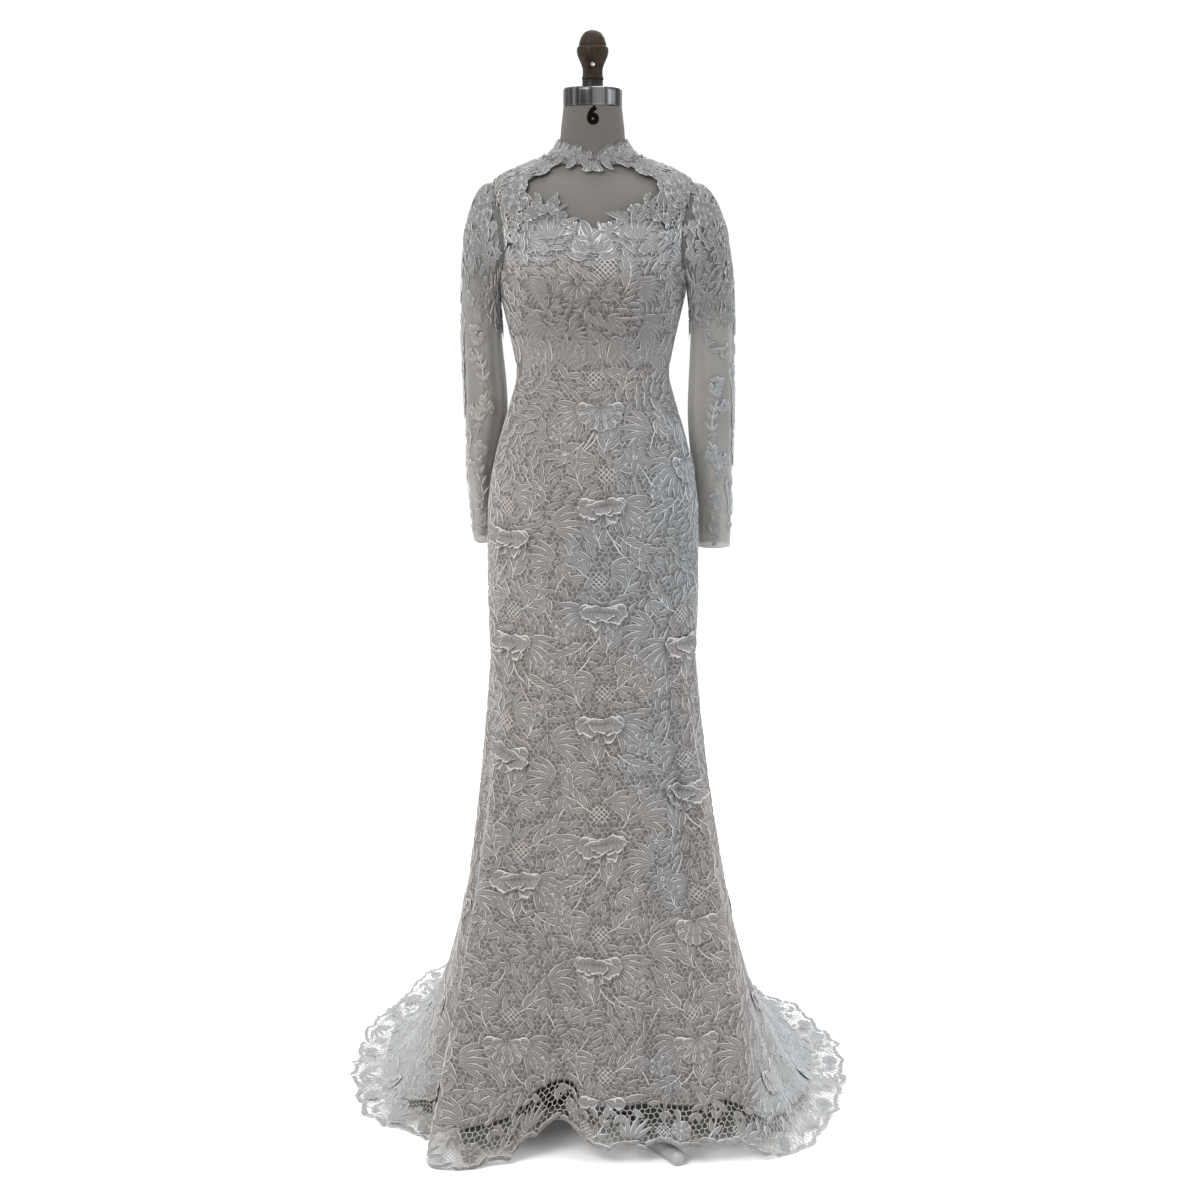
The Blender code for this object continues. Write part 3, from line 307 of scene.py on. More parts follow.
def mathNode(tree, operation, *values, clamp=False):
    node = tree.nodes.new("ShaderNodeMath")
    node.operation, node.use_clamp = operation, clamp
    fill(tree, node.inputs, values)
    return node.outputs[0]


def times(tree, *parts):
    found = parts[0]
    for part in parts[1:]:
        found = mathNode(tree, "MULTIPLY", found, part)
    return found


def plus(tree, first, second, clamp=False):
    return mathNode(tree, "ADD", first, second, clamp=clamp)


def minus(tree, first, second, clamp=False):
    return mathNode(tree, "SUBTRACT", first, second, clamp=clamp)


def vectorNode(tree, operation, *values):
    node = tree.nodes.new("ShaderNodeVectorMath")
    node.operation = operation
    fill(tree, node.inputs, values)
    return node


def mixColour(tree, factor, first, second, blend="MIX"):
    node = tree.nodes.new("ShaderNodeMix")
    node.data_type, node.blend_type = "RGBA", blend
    fill(tree, (node.inputs[0], node.inputs[6], node.inputs[7]), (factor, first, second))
    return node.outputs[2]


def smoothMask(tree, value, low, high):
    node = tree.nodes.new("ShaderNodeMapRange")
    node.interpolation_type = "SMOOTHSTEP"
    fill(tree, [node.inputs[label] for label in ("Value", "From Min", "From Max")], (value, low, high))
    return node.outputs["Result"]


def noiseOf(tree, vector, scale, detail=3, roughness=0.55, output="Fac"):
    node = tree.nodes.new("ShaderNodeTexNoise")
    labels = ("Scale", "Detail", "Roughness", "Vector")
    fill(tree, [node.inputs[label] for label in labels], (scale, detail, roughness, vector))
    return node.outputs[output]


def axesOf(tree, vector):
    node = tree.nodes.new("ShaderNodeSeparateXYZ")
    fill(tree, node.inputs, [vector])
    return [node.outputs[axis] for axis in "XYZ"]


def coordinates(tree, kind):
    return tree.nodes.new("ShaderNodeTexCoord").outputs[kind]


def placeGroup(tree, group, vector, **values):
    node = tree.nodes.new("ShaderNodeGroup")
    node.node_tree = group
    fill(tree, [node.inputs["Vector"]], [vector])
    for label, value in values.items():
        node.inputs[label].default_value = value
    return node.outputs


def makeWeaveGroup():
    # crossing threads, at threads per metre, and the thicker places along them
    group, start, end = nodeGroup("threadWeave", {"Threads": 1500.0, "Slub": 0.3}, ("Height", "Slubs"))
    waves = [mathNode(group, "SINE", times(group, part, start["Threads"], fullTurn))
             for part in axesOf(group, start["Vector"])[:2]]
    stretched = vectorNode(group, "MULTIPLY", start["Vector"], (1.0, 7.0, 1.0)).outputs[0]
    slubs = times(group, minus(group, noiseOf(group, stretched, 160, 3, 0.5), 0.5), start["Slub"])
    fill(group, (end["Height"], end["Slubs"]), (plus(group, times(group, *waves), times(group, slubs, 4.0)), slubs))
    return group


def makeNetGroup():
    # six-sided net, a little uneven: 1 on the cords and 0 in the gaps
    group, start, end = nodeGroup("corded net", {"Cells": 118.0, "Cord": 0.12, "Unevenness": 0.45}, ("Mask",))
    scaled = vectorNode(group, "SCALE", start["Vector"])
    wobble = noiseOf(group, scaled.outputs[0], 0.9, 1, 0.5, "Color")
    moved = vectorNode(group, "SCALE", vectorNode(group, "SUBTRACT", wobble, (0.5, 0.5, 0.5)).outputs[0])
    unevenness = times(group, start["Unevenness"], 2.2)
    fill(group, (scaled.inputs["Scale"], moved.inputs["Scale"]), (start["Cells"], unevenness))
    spot = vectorNode(group, "ADD", scaled.outputs[0], moved.outputs[0]).outputs[0]
    shifted = vectorNode(group, "ADD", spot, (0.5, 0.866, 0.0)).outputs[0]
    away = []
    for centre in (spot, shifted):
        cell = vectorNode(group, "WRAP", centre, (0.5, 0.866, 1.0), (-0.5, -0.866, -1.0)).outputs[0]
        x, y = axesOf(group, vectorNode(group, "ABSOLUTE", cell).outputs[0])[:2]
        away.append(mathNode(group, "MAXIMUM", x, plus(group, times(group, x, 0.5), times(group, y, 0.866))))
    share = mathNode(group, "DIVIDE", minus(group, 0.5, mathNode(group, "MINIMUM", *away)), start["Cord"])
    fill(group, [end["Mask"]], [minus(group, 1.0, smoothMask(group, share, 0.45, 1.15))])
    return group


def makePaintedLightGroup():
    # painted light and shade laid over the cloth by place: warm and cool patches, partly random mottle and partly the
    # painted colour of the light; painted shade at the waist and on the shoulders; a painted highlight on the bust top;
    # painted glints at the hem; and painted light where the train lies pale on the floor
    group, start, end = nodeGroup("broad tint", {}, ("Tint", "Pale"))
    place = start["Vector"]
    x, y, z = axesOf(group, place)

    def over(value, low, high):
        return smoothMask(group, value, low, high)

    def below(value, low, high):
        return minus(group, 1.0, over(value, low, high))

    wide, behind = mathNode(group, "ABSOLUTE", x), mathNode(group, "MAXIMUM", y, 0.0)
    # random mottle shifted by place, cooler to the right and at the bust top, warmer low down, low on the right and
    # behind: a painted colour of the light
    sideways = noiseOf(group, place, 5.5, 2)
    for parts in ((x, 1.8), (over(z, 1.36, 1.44), 0.22), (below(z, 0.15, 0.9), -0.20),
                  (over(x, 0.10, 0.22), below(z, 0.55, 0.95), -0.45), (behind, -1.8)):
        sideways = plus(group, sideways, times(group, *parts))
    chest = plus(group, z, times(group, noiseOf(group, place, 16, 2), 0.06))
    # painted shade on the tops of the shoulders and on the upper sleeves beside the body
    high = mathNode(group, "MAXIMUM", times(group, over(z, 1.42, 1.455), below(y, 0.03, 0.10)),
                    times(group, over(wide, 0.150, 0.170), over(z, 1.16, 1.40), below(y, -0.03, 0.05)))
    # painted light on the train where it lies on the floor; it also pales the train
    spread = times(group, over(plus(group, wide, times(group, behind, 0.8)), 0.20, 0.36), below(z, 0.07, 0.46))
    mixed = mixColour(group, over(sideways, 0.32, 0.86), clothColours["warm"], clothColours["cool"])
    # painted shade at the waist under the bust, a painted highlight on the bust top, painted shade on the shoulders,
    # painted glints at the hem and painted light on the train
    for colour, mask in (
        ("waist", times(group, over(z, 1.235, 1.275), below(z, 1.345, 1.385), below(wide, 0.14, 0.17))),
        ("bust", times(group, over(chest, 1.375, 1.450), below(y, 0.0, 0.05), 0.9)), ("shoulder", high),
        ("glint", times(group, below(z, 0.06, 0.13), over(noiseOf(group, place, 11, 1), 0.50, 0.60))),
        ("train", spread),
    ):
        mixed = mixColour(group, mask, mixed, clothColours[colour])
    fill(group, (end["Tint"], end["Pale"]), (mixed, spread))
    return group


def withPaintedLight(tree, colour):
    # multiplies in the painted light and shade, then pales the train towards a painted light colour
    lightAndShade = placeGroup(tree, paintedLightGroup, coordinates(tree, "Object"))
    mixed = mixColour(tree, 1.0, colour, lightAndShade["Tint"], "MULTIPLY")
    return mixColour(tree, times(tree, lightAndShade["Pale"], 0.5), mixed, clothColours["pale"])


def newMaterial(name, roughness=0.8, metallic=0.0, sheen=0.0, **more):
    made = bpy.data.materials.new(name)
    made.use_nodes = True
    shader = made.node_tree.nodes["Principled BSDF"].inputs
    settings = {"Roughness": roughness, "Metallic": metallic, "Sheen Weight": sheen, "Sheen Roughness": 0.5, **more}
    fill(made.node_tree, [shader[label] for label in settings], settings.values())
    return made, made.node_tree, shader


def addBump(tree, shader, height, strength, distance):
    bump = tree.nodes.new("ShaderNodeBump")
    sockets = [bump.inputs[label] for label in ("Strength", "Distance", "Height")]
    fill(tree, sockets + [shader["Normal"]], (strength, distance, height, bump.outputs[0]))


def groundMaterial(name, lining, net, cells=112.0, cord=0.088):
    # lining cloth with the corded net of the lace lying on it, the net's soft shadow painted just below each cord, and
    # painted shade on the inner face
    made, tree, shader = newMaterial(name, 0.85, sheen=0.15)
    uv = coordinates(tree, "UV")
    lower = vectorNode(tree, "ADD", uv, (0.0004, 0.0013, 0.0)).outputs[0]
    mask, above = (placeGroup(tree, netGroup, place, Cells=cells, Cord=cord)["Mask"] for place in (uv, lower))
    weave = placeGroup(tree, weaveGroup, uv, Threads=1400.0, Slub=0.3)
    cloudy = smoothMask(tree, noiseOf(tree, uv, 9, 4), 0.35, 0.7)
    base = mixColour(tree, cloudy, shaded(lining, 0.90), shaded(lining, 1.10))
    # the inner face is painted near black: painted shade of the skirt's inside, seen through the hem's holes
    inside = tree.nodes.new("ShaderNodeNewGeometry").outputs["Backfacing"]
    # painted shadow just below each cord of the net
    shade = times(tree, above, times(tree, minus(tree, 1.0, mask), 0.45))
    base = mixColour(tree, shade, base, shaded(lining, 0.35))
    cloth = withPaintedLight(tree, mixColour(tree, mask, base, net))
    fill(tree, [shader["Base Color"]], [mixColour(tree, inside, cloth, shaded(lining, 0.06))])
    addBump(tree, shader, plus(tree, mask, times(tree, weave["Height"], 0.05)), 0.8, 0.0012)
    return made


def cordMaterial(name, crest, valley, ribs=900.0):
    # stitched lace: pale cords along rims, midribs and veins, duller cloth between them; the cords are whiter thread
    # with a painted highlight of their raised relief, and the cloth between carries painted shade
    made, tree, shader = newMaterial(name, 0.78, sheen=0.2)
    uv = coordinates(tree, "UV")
    motif = tree.nodes.new("ShaderNodeAttribute")
    motif.attribute_name = "motif"
    along, across, kind = axesOf(tree, motif.outputs["Vector"])
    wide = mathNode(tree, "ABSOLUTE", across)
    isPetal, isStem = (mathNode(tree, "GREATER_THAN", kind, limit) for limit in (0.5, 1.5))
    isLeaf = minus(tree, 1.0, isPetal)
    midrib = times(tree, minus(tree, 1.0, smoothMask(tree, wide, 0.04, 0.13)), isLeaf,
                   minus(tree, 0.62, times(tree, along, 0.55)))
    slant = minus(tree, times(tree, along, 7.0), times(tree, wide, 1.3))
    vein = smoothMask(tree, mathNode(tree, "SINE", times(tree, slant, fullTurn)), 0.55, 0.95)
    ray = smoothMask(tree, mathNode(tree, "COSINE", times(tree, across, 3.5 * math.pi)), 0.45, 0.9)
    # rims, midribs, veins and stems take the pale crest colour: whiter cord, partly a painted highlight
    line = smoothMask(tree, wide, 0.72, 0.82)  # the rim
    for cord in (midrib, times(tree, vein, isLeaf, 0.16), times(tree, ray, isPetal, 0.30), isStem):
        line = mathNode(tree, "MAXIMUM", line, cord)
    wavy = plus(tree, axesOf(tree, uv)[0], times(tree, noiseOf(tree, uv, 60), 0.004))
    stitch = mathNode(tree, "SINE", times(tree, wavy, ribs * fullTurn))
    uneven = noiseOf(tree, uv, 45, 3)
    tone = plus(tree, line, times(tree, minus(tree, uneven, 0.5), 0.45), clamp=True)
    fill(tree, [shader["Base Color"]], [withPaintedLight(tree, mixColour(tree, tone, valley, crest))])
    height = plus(tree, times(tree, line, 2.2), plus(tree, times(tree, stitch, 0.3), times(tree, uneven, 0.8)))
    addBump(tree, shader, height, 0.8, 0.0006)
    return made


def netMaterial(name, colour):
    made, tree, shader = newMaterial(name, 0.82, sheen=0.15)
    uv = coordinates(tree, "UV")
    tone = smoothMask(tree, noiseOf(tree, uv, 40, 3), 0.3, 0.75)
    fill(tree, [shader["Base Color"]], [mixColour(tree, tone, shaded(colour, 0.82), colour)])
    addBump(tree, shader, noiseOf(tree, uv, 700, 2), 0.5, 0.0006)
    return made


def tulleMaterial(name, colour, cover, head=0.0):
    # sheer net that thins between its threads; with head it is the sleeve, with painted shade under the thick lace,
    # darker at the elbow, and painted light on its inner side
    made, tree, shader = newMaterial(name, 0.7, sheen=0.25)
    uv = coordinates(tree, "UV")
    mesh = placeGroup(tree, netGroup, uv, Cells=620.0, Cord=0.16, Unevenness=0.15)["Mask"]
    cloudy = smoothMask(tree, noiseOf(tree, uv, 14, 4), 0.3, 0.7)
    shown = mixColour(tree, cloudy, shaded(colour, 0.93), shaded(colour, 1.05))
    alpha = plus(tree, times(tree, mesh, 0.30), plus(tree, times(tree, cloudy, 0.06), cover - 0.12), clamp=True)
    if head:
        x, y = axesOf(tree, uv)[:2]
        alpha = minus(tree, alpha, times(tree, smoothMask(tree, y, -0.16, -0.03), head), clamp=True)
        elbow = times(tree, smoothMask(tree, y, -0.47, -0.38), 0.9)
        cloudEdge = plus(tree, y, times(tree, noiseOf(tree, uv, 26, 2), 0.16))
        upper = smoothMask(tree, cloudEdge, -0.20, -0.06)
        across = mathNode(tree, "ABSOLUTE", minus(tree, x, 0.0585))
        inner = times(tree, smoothMask(tree, across, 0.045, 0.105), minus(tree, 1.0, upper))
        # upper: painted shade of the sleeve's dark inside under the thick lace; inner: painted light on the side
        # towards the body; elbow: darker towards the elbow
        for mask, share in ((elbow, 0.68), (upper, 0.42), (inner, 1.12)):
            shown = mixColour(tree, mask, shown, shaded(colour, share))
    fill(tree, (shader["Base Color"], shader["Alpha"]), (shown, alpha))
    addBump(tree, shader, mesh, 0.3, 0.0004)
    return made


weaveGroup, netGroup, paintedLightGroup = makeWeaveGroup(), makeNetGroup(), makePaintedLightGroup()
groundOnSkirt = groundMaterial("lace ground on skirt lining", clothColours["lining"], clothColours["net"])
groundOnBodice = groundMaterial("lace ground on bodice lining", (0.102, 0.094, 0.088), (0.275, 0.264, 0.255), 128.0)
laceCord = cordMaterial("ivory lace cord", clothColours["cord"], clothColours["cordShade"])
netCord = netMaterial("openwork lace net", (0.33, 0.308, 0.280))
petalCord = cordMaterial("ruffled petal cloth", (0.57, 0.56, 0.545), (0.190, 0.182, 0.174))
sleeveCord = cordMaterial("sleeve lace cord", (0.60, 0.59, 0.57), (0.255, 0.246, 0.235))
tulle = tulleMaterial("soft sleeve tulle", clothColours["sleeve"], 0.80, 0.15)
sheerTulle = tulleMaterial("sheer yoke tulle", clothColours["sleeve"], 0.24)
print("cloth finishes made")


# helpers for making pieces
def gridCells(columns, rows):
    # a flat grid from (0, 0) to (1, 1): points and faces
    bm = bmesh.new()
    bmesh.ops.create_grid(bm, x_segments=columns, y_segments=rows, size=0.5)
    points = np.array([v.co[:] for v in bm.verts])[:, :2] + 0.5
    faces = np.array([[v.index for v in f.verts] for f in bm.faces])
    bm.free()
    return points, faces


def addToScene(name, data):
    made = bpy.data.objects.new(name, data)
    bpy.context.scene.collection.objects.link(made)
    return made


def showPiece(name, mesh, covered):
    piece = addToScene(name, mesh)
    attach(piece, "root")
    if covered:
        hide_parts(*covered)
    return piece


def addMesh(name, points, faces, material, covered=(), uv=None, motif=None):
    mesh = bpy.data.meshes.new(name)
    mesh.vertices.add(len(points))
    mesh.vertices.foreach_set("co", np.asarray(points, np.float32).ravel())
    faces = np.asarray(faces)
    mesh.loops.add(faces.size)
    mesh.loops.foreach_set("vertex_index", faces.ravel().astype(np.int32))
    mesh.polygons.add(len(faces))
    mesh.polygons.foreach_set("loop_start", np.arange(0, faces.size, faces.shape[1], dtype=np.int32))
    mesh.update(calc_edges=True)
    mesh.validate()
    if uv is not None:
        layer = mesh.uv_layers.new(name="UVMap")
        corner = np.zeros(len(mesh.loops), np.int32)
        mesh.loops.foreach_get("vertex_index", corner)
        layer.data.foreach_set("uv", np.asarray(uv, np.float32)[corner].ravel())
    if motif is not None:
        made = mesh.attributes.new("motif", "FLOAT_VECTOR", "POINT")
        made.data.foreach_set("vector", np.asarray(motif, np.float32).ravel())
    mesh.shade_smooth()
    mesh.materials.append(material)
    return showPiece(name, mesh, covered)


def faceOut(points, faces, outward):
    # turns the faces of a sheet so that they look the way of outward
    a, b, c = (points[faces[:, i]] for i in range(3))
    away = (np.cross(b - a, c - a) * outward[faces[:, 0]]).sum(1).sum() < 0
    return faces[:, ::-1] if away else faces


def frontEdge(side, run):
    end = dress["leftSeamAtHem"] if side == "left" else dress["rightSeamAtHem"]
    hip = sideSign[side] * dress["seamAtHip"]
    return hip + (end - hip) * ramp(dress["seamTurnStart"], dress["seamTurnEnd"], run)


panels = {
    "skirt_front": (lambda run: frontEdge("right", run), lambda run: frontEdge("left", run)),
    "skirt_back_left": (lambda run: frontEdge("left", run), lambda run: np.full_like(run, 180.0)),
    "skirt_back_right": (lambda run: np.full_like(run, -180.0), lambda run: frontEdge("right", run)),
}


def acrossPanel(low, high, share, run):
    even = low + (high - low) * share
    start, end = np.interp(low, mapAngles, hemWalk), np.interp(high, mapAngles, hemWalk)
    alongHem = np.interp(start + (end - start) * share, hemWalk, mapAngles)
    return even + (alongHem - even) * ramp(0.8, 2.0, run)


def panelAngle(panel, share, run):
    low, high = panels[panel]
    return acrossPanel(low(run) + 0.05, high(run) - 0.05, share, run)


def tOfRun(angle, run):
    knee, lower = byAngle(kneeT, angle), byAngle(lowerLength, angle)
    return np.where(run <= 1, run * knee, knee + (run - 1) * (lower - dress["hemLace"]))


def runOfT(angle, t):
    # 0 at the waist, 1 at the knee and 2 where the lining ends
    knee, lower = byAngle(kneeT, angle), byAngle(lowerLength, angle)
    return np.where(t <= knee, t / knee, 1 + (t - knee) / (lower - dress["hemLace"]))


# lace motifs: each is a small grid shaped by its outline and its raised rim and midrib
motifShapes = {  # across: where the strips lie; height: how high each line stands; kind: 0 leaf, 1 petal, 2 cord
    "leaf": {"along": 6, "across": [-1, -0.80, 0, 0.80, 1], "height": [0, 1, 0.55, 1, 0], "widest": 0.80,
             "fullness": 0.85, "kind": 0},
    "petal": {"along": 5, "across": [-1, -0.84, 0, 0.84, 1], "height": [0, 1, 0.25, 1, 0], "widest": 1.9,
              "fullness": 0.62, "kind": 1},
    "stem": {"along": 9, "across": [-1, 0, 1], "height": [0, 1, 0], "widest": 0.0, "fullness": 0.0, "kind": 2},
    "bar": {"along": 2, "across": [-1, 0, 1], "height": [0, 1, 0], "widest": 0.0, "fullness": 0.0, "kind": 2},
}


def makeShape(plan):
    across, height = np.array(plan["across"], float), np.array(plan["height"], float)
    cells, faces = gridCells(plan["along"], len(across) - 1)
    lines = np.rint(cells[:, 1] * (len(across) - 1)).astype(int)
    a, b, h = cells[:, 0], across[lines], height[lines].copy()
    if plan["fullness"] > 0:
        s = np.clip(0.015 + 0.97 * a, 0, 1)
        width = np.sin(np.pi * s ** plan["widest"]) ** plan["fullness"]
        h *= np.clip(np.minimum(a / 0.10 + 0.25, (1 - a) / 0.12 + 0.15), 0, 1)
    else:
        width = np.clip(np.minimum(a / 0.08 + 0.4, (1 - a) / 0.10 + 0.4), 0, 1)
    motif = np.stack([a, b, np.full(len(a), float(plan["kind"]))], -1)
    return {"a": a, "b": b * width, "h": h, "faces": faces, "motif": motif}


shapes = {name: makeShape(plan) for name, plan in motifShapes.items()}
leastBend = 0.02  # a straighter motif is drawn with this bend


def arcPoints(length, bend, share, off=0.0):
    # points at a share of the way along an arc, each moved sideways by off
    bend = np.where(np.abs(bend) < leastBend, leastBend, bend)
    radius = length / bend
    cx, cy = radius * np.sin(bend * share), radius * (1 - np.cos(bend * share))
    return cx - np.sin(bend * share) * off, cy + np.cos(bend * share) * off


def motifPoints(kind, x, y, turn, length, width, bend, lift, high):
    # points of many motifs of one kind: arrays of (count, points)
    shape = shapes[kind]
    a, b, h = shape["a"][None], shape["b"][None], shape["h"][None]
    length, width = length[:, None], width[:, None]
    px, py = arcPoints(length, bend[:, None], a, b * width / 2)
    c, s = np.cos(turn)[:, None], np.sin(turn)[:, None]
    return (x[:, None] + px * c - py * s, y[:, None] + px * s + py * c, h * high[:, None] + lift[:, None] * a * a,
            np.stack([a * length, b * width * 0.5 + 0 * a], -1))


class Lace:
    # a list of motifs in flat metres: x across, y up
    def __init__(self):
        self.rows = []

    def add(self, kind, x, y, turn, length, width, bend=0.0, lift=0.0, high=0.0013):
        self.rows.append((kind, x, y, math.radians(turn), length, width, bend, lift, high))

    def spray(self, x, y, turn, count, spread, length, width, bend=0.0, kind="leaf", start=0.0):
        for k in range(count):
            share = (k / (count - 1) - 0.5) if count > 1 else 0
            way = turn + spread * share
            size = length * (1 - 0.7 * abs(share) * (0.6 + 0.2 * ((k * 7) % 3)))
            bx, by = x + start * math.cos(math.radians(way)), y + start * math.sin(math.radians(way))
            self.add(kind, bx, by, way, size, width, bend * (1 if share >= 0 else -1) * (0.5 + abs(share)))

    def flower(self, x, y, count, radius, turn=0.0, spread=360, lift=0.0, width=None, heart=True, kind="petal"):
        width = width or radius * 2.25 * math.sin(math.pi / count)
        step = spread / count
        for k in range(count):
            way = turn + step * (k + 0.5) - (spread / 2 if spread < 360 else 0)
            bx, by = x + 0.16 * radius * math.cos(math.radians(way)), y + 0.16 * radius * math.sin(math.radians(way))
            self.add(kind, bx, by, way, radius * 0.86, width, 0.0, lift, 0.0014)
        for k in range(5 if heart else 0):
            way = math.radians(72 * k + turn)
            self.add("bar", x + 0.05 * radius * math.cos(way), y + 0.05 * radius * math.sin(way),
                     math.degrees(way), radius * 0.16, radius * 0.16, high=0.0022)

    def wing(self, x, y, turn, fan, count, length, width, bend=0.5, step=0.0035):
        # long leaves side by side that open out like a comb
        side = math.radians(turn + fan / 2 + (90 if fan > 0 else -90))
        for k in range(count):
            share = k / (count - 1)
            size = length * (0.66 + 0.42 * math.sin(math.pi * (0.18 + 0.70 * share)))
            self.add("leaf", x + step * k * math.cos(side), y + step * k * math.sin(side), turn + fan * share, size,
                     width, bend)

    def plume(self, x, y, turn, length, pairs, leaf, width, bend=0.6):
        # a curved stem with leaves on both sides and one at its tip
        self.add("stem", x, y, turn, length, 0.0018, bend, high=0.0012)
        radius = length / bend
        c, s = math.cos(math.radians(turn)), math.sin(math.radians(turn))
        for k in range(pairs + 1):
            share = (k + 0.6) / (pairs + 0.2) if k < pairs else 1
            cx, cy = radius * math.sin(bend * share), radius * (1 - math.cos(bend * share))
            px, py = x + cx * c - cy * s, y + cx * s + cy * c
            way, size = turn + math.degrees(bend * share), leaf * (1.0 - 0.35 * share)
            if k == pairs:
                self.add("leaf", px, py, way, leaf * 0.8, width)
            else:
                self.add("leaf", px, py, way + 52 - 14 * share, size, width, -0.5)
                self.add("leaf", px, py, way - 52 + 14 * share, size * 0.92, width, 0.5)

    def lattice(self, x, y, across, up, step=0.0056, turn=45):
        for way in (turn, turn + 90):
            c, s = math.cos(math.radians(way)), math.sin(math.radians(way))
            for k in range(-6, 7):
                off = k * step
                reach = 1 - (off / max(across, up)) ** 2
                if reach > 0.05:
                    half = math.sqrt(reach) * (across * abs(c) + up * abs(s)) * 0.92
                    self.add("bar", x - s * off - c * half, y + c * off - s * half, way, 2 * half, 0.0012, high=0.0008)

    def stamp(self, motif, x, y, turn=0.0, scale=1.0, mirror=False):
        # lays another list of motifs on this one
        turn = math.radians(turn)
        c, s = math.cos(turn), math.sin(turn)
        for kind, mx, my, way, length, width, bend, lift, high in motif.rows:
            if mirror:
                mx, way, bend = -mx, math.pi - way, -bend
            self.rows.append((kind, x + scale * (mx * c - my * s), y + scale * (mx * s + my * c), way + turn,
                              length * scale, width * scale, bend, lift * scale, high))


def drawBouquet(peony):
    # one repeat of the lace, about 150 mm wide and 178 mm tall
    lace = Lace()
    if peony:
        lace.flower(0, -0.002, 7, 0.036, -90, 200, 0.003, 0.021, heart=False)
        lace.flower(0, 0.001, 5, 0.023, -90, 175, 0.003, 0.018, heart=False)
    lace.wing(0.032, 0.000, 18, -82, 6, 0.050, 0.0098, -0.5)
    lace.wing(-0.078, -0.034, 62, -72, 5, 0.050, 0.0102, -0.7)
    lace.wing(-0.010, 0.062, 140, 60, 4, 0.040, 0.0096, 0.6)
    lace.lattice(0.006, 0.040, 0.015, 0.011)
    for x, y, turn, length, bend in ((-0.070, 0.052, 20, 0.080, 0.9), (0.074, 0.020, 105, 0.060, 0.8),
                                     (0.004, -0.040, -70, 0.050, 0.9)):
        lace.add("stem", x, y, turn, length, 0.0017, bend, high=0.0012)
    for x, y, turn, size, pairs, leaf, width, bend in (
        (0.018, 0.044, 24, 0.052, 3, 0.031, 0.0098, 0.7), (-0.004, -0.072, 100, 0.030, 2, 0.036, 0.0110, 0.4),
        (0.024, -0.052, -52, 0.050, 3, 0.028, 0.0092, 0.8), (-0.030, 0.018, 128, 0.036, 2, 0.030, 0.0096, -0.6),
    ):
        lace.plume(x, y, turn, size, pairs, leaf, width, bend)
    lace.flower(-0.050, -0.078, 6, 0.021, 12, kind="leaf", width=0.0092)
    lace.flower(0.060, -0.040, 5, 0.016, 40)
    lace.flower(0.062, -0.042, 4, 0.009, 10, heart=False)
    lace.flower(-0.056, 0.072, 5, 0.020, 70, kind="leaf", width=0.0098)
    lace.spray(0.066, 0.066, -120, 3, 80, 0.036, 0.0112, -0.35)
    lace.spray(-0.020, -0.088, -160, 3, 90, 0.032, 0.0104, 0.3)
    return lace


def drawSprig():
    # a stem with leaves and a flower at its head, about 90 mm tall
    lace = Lace()
    lace.plume(0, -0.045, 96, 0.058, 4, 0.022, 0.0072, -0.5)
    lace.flower(0.006, 0.026, 6, 0.0135, 20, kind="petal")
    lace.spray(0, -0.045, -84, 3, 70, 0.018, 0.006, 0.3)
    return lace


bouquet, plainBouquet, sprig = drawBouquet(True), drawBouquet(False), drawSprig()


class Cover:
    # which parts of a flat panel already carry lace, on a raster of 2 mm
    def __init__(self, x0, x1, y0, y1, cell=0.002):
        self.x0, self.y0, self.cell = x0, y0, cell
        self.map = np.zeros((int((x1 - x0) / cell) + 2, int((y1 - y0) / cell) + 2), bool)

    def spots(self, row):
        x, y, turn, length, width, bend = row[1:7]
        a = np.linspace(0.06, 0.94, max(3, int(length / 0.004)))
        side = width / 2 * np.sin(np.pi * np.clip(a, 0.15, 0.85)) * np.array([-0.7, 0, 0.7])[:, None]
        px, py = arcPoints(length, bend, a, side)
        gx = x + px * math.cos(turn) - py * math.sin(turn)
        gy = y + px * math.sin(turn) + py * math.cos(turn)
        i = np.clip(((gx - self.x0) / self.cell).astype(int), 0, self.map.shape[0] - 1)
        j = np.clip(((gy - self.y0) / self.cell).astype(int), 0, self.map.shape[1] - 1)
        return i, j

    def mark(self, row):
        self.map[self.spots(row)] = True

    def taken(self, row):
        return self.map[self.spots(row)].mean()


fillSizes = {"fine": ((0.026, 0.0078, 0.05), (0.017, 0.0064, 0.06), (0.012, 0.0054, 0.05)),
             "open": ((0.038, 0.0106, 0.0), (0.022, 0.0086, 0.0))}  # length, width, share that may overlap


def fillBetween(lace, x0, x1, y0, y1, keep, sizes="open", step=0.0105, seed=1, kind="leaf"):
    # leaves in the spaces that the repeats leave, turned along a swirling flow
    cover = Cover(x0 - 0.05, x1 + 0.05, y0 - 0.05, y1 + 0.05)
    for row in lace.rows:
        cover.mark(row)
    local = np.random.default_rng(seed)
    for size, width, wanted in fillSizes[sizes]:
        gx, gy = np.meshgrid(np.arange(x0, x1, step), np.arange(y0, y1, step))
        gx = gx.ravel() + local.uniform(-0.4, 0.4, gx.size) * step
        gy = gy.ravel() + local.uniform(-0.4, 0.4, gy.size) * step
        good = keep(gx, gy)
        flow = 70 * np.sin(gx * 38) + 80 * np.cos(gy * 31 + gx * 9) + local.uniform(-22, 22, gx.size)
        for x, y, turn, ok in zip(gx, gy, flow, good):
            row = (kind, x, y, math.radians(turn), size * local.uniform(0.85, 1.1), width,
                   float(local.uniform(-0.8, 0.8)), 0.0, 0.0012)
            if ok and cover.taken(row) <= wanted:
                lace.rows.append(row)
                cover.mark(row)


def along(rows, share):
    # points at a share of the way along each of many motifs
    x, y, turn, length, bend = (rows[:, i] for i in (0, 1, 2, 3, 5))
    cx, cy = arcPoints(length, bend, share)
    return x + cx * np.cos(turn) - cy * np.sin(turn), y + cx * np.sin(turn) + cy * np.cos(turn)


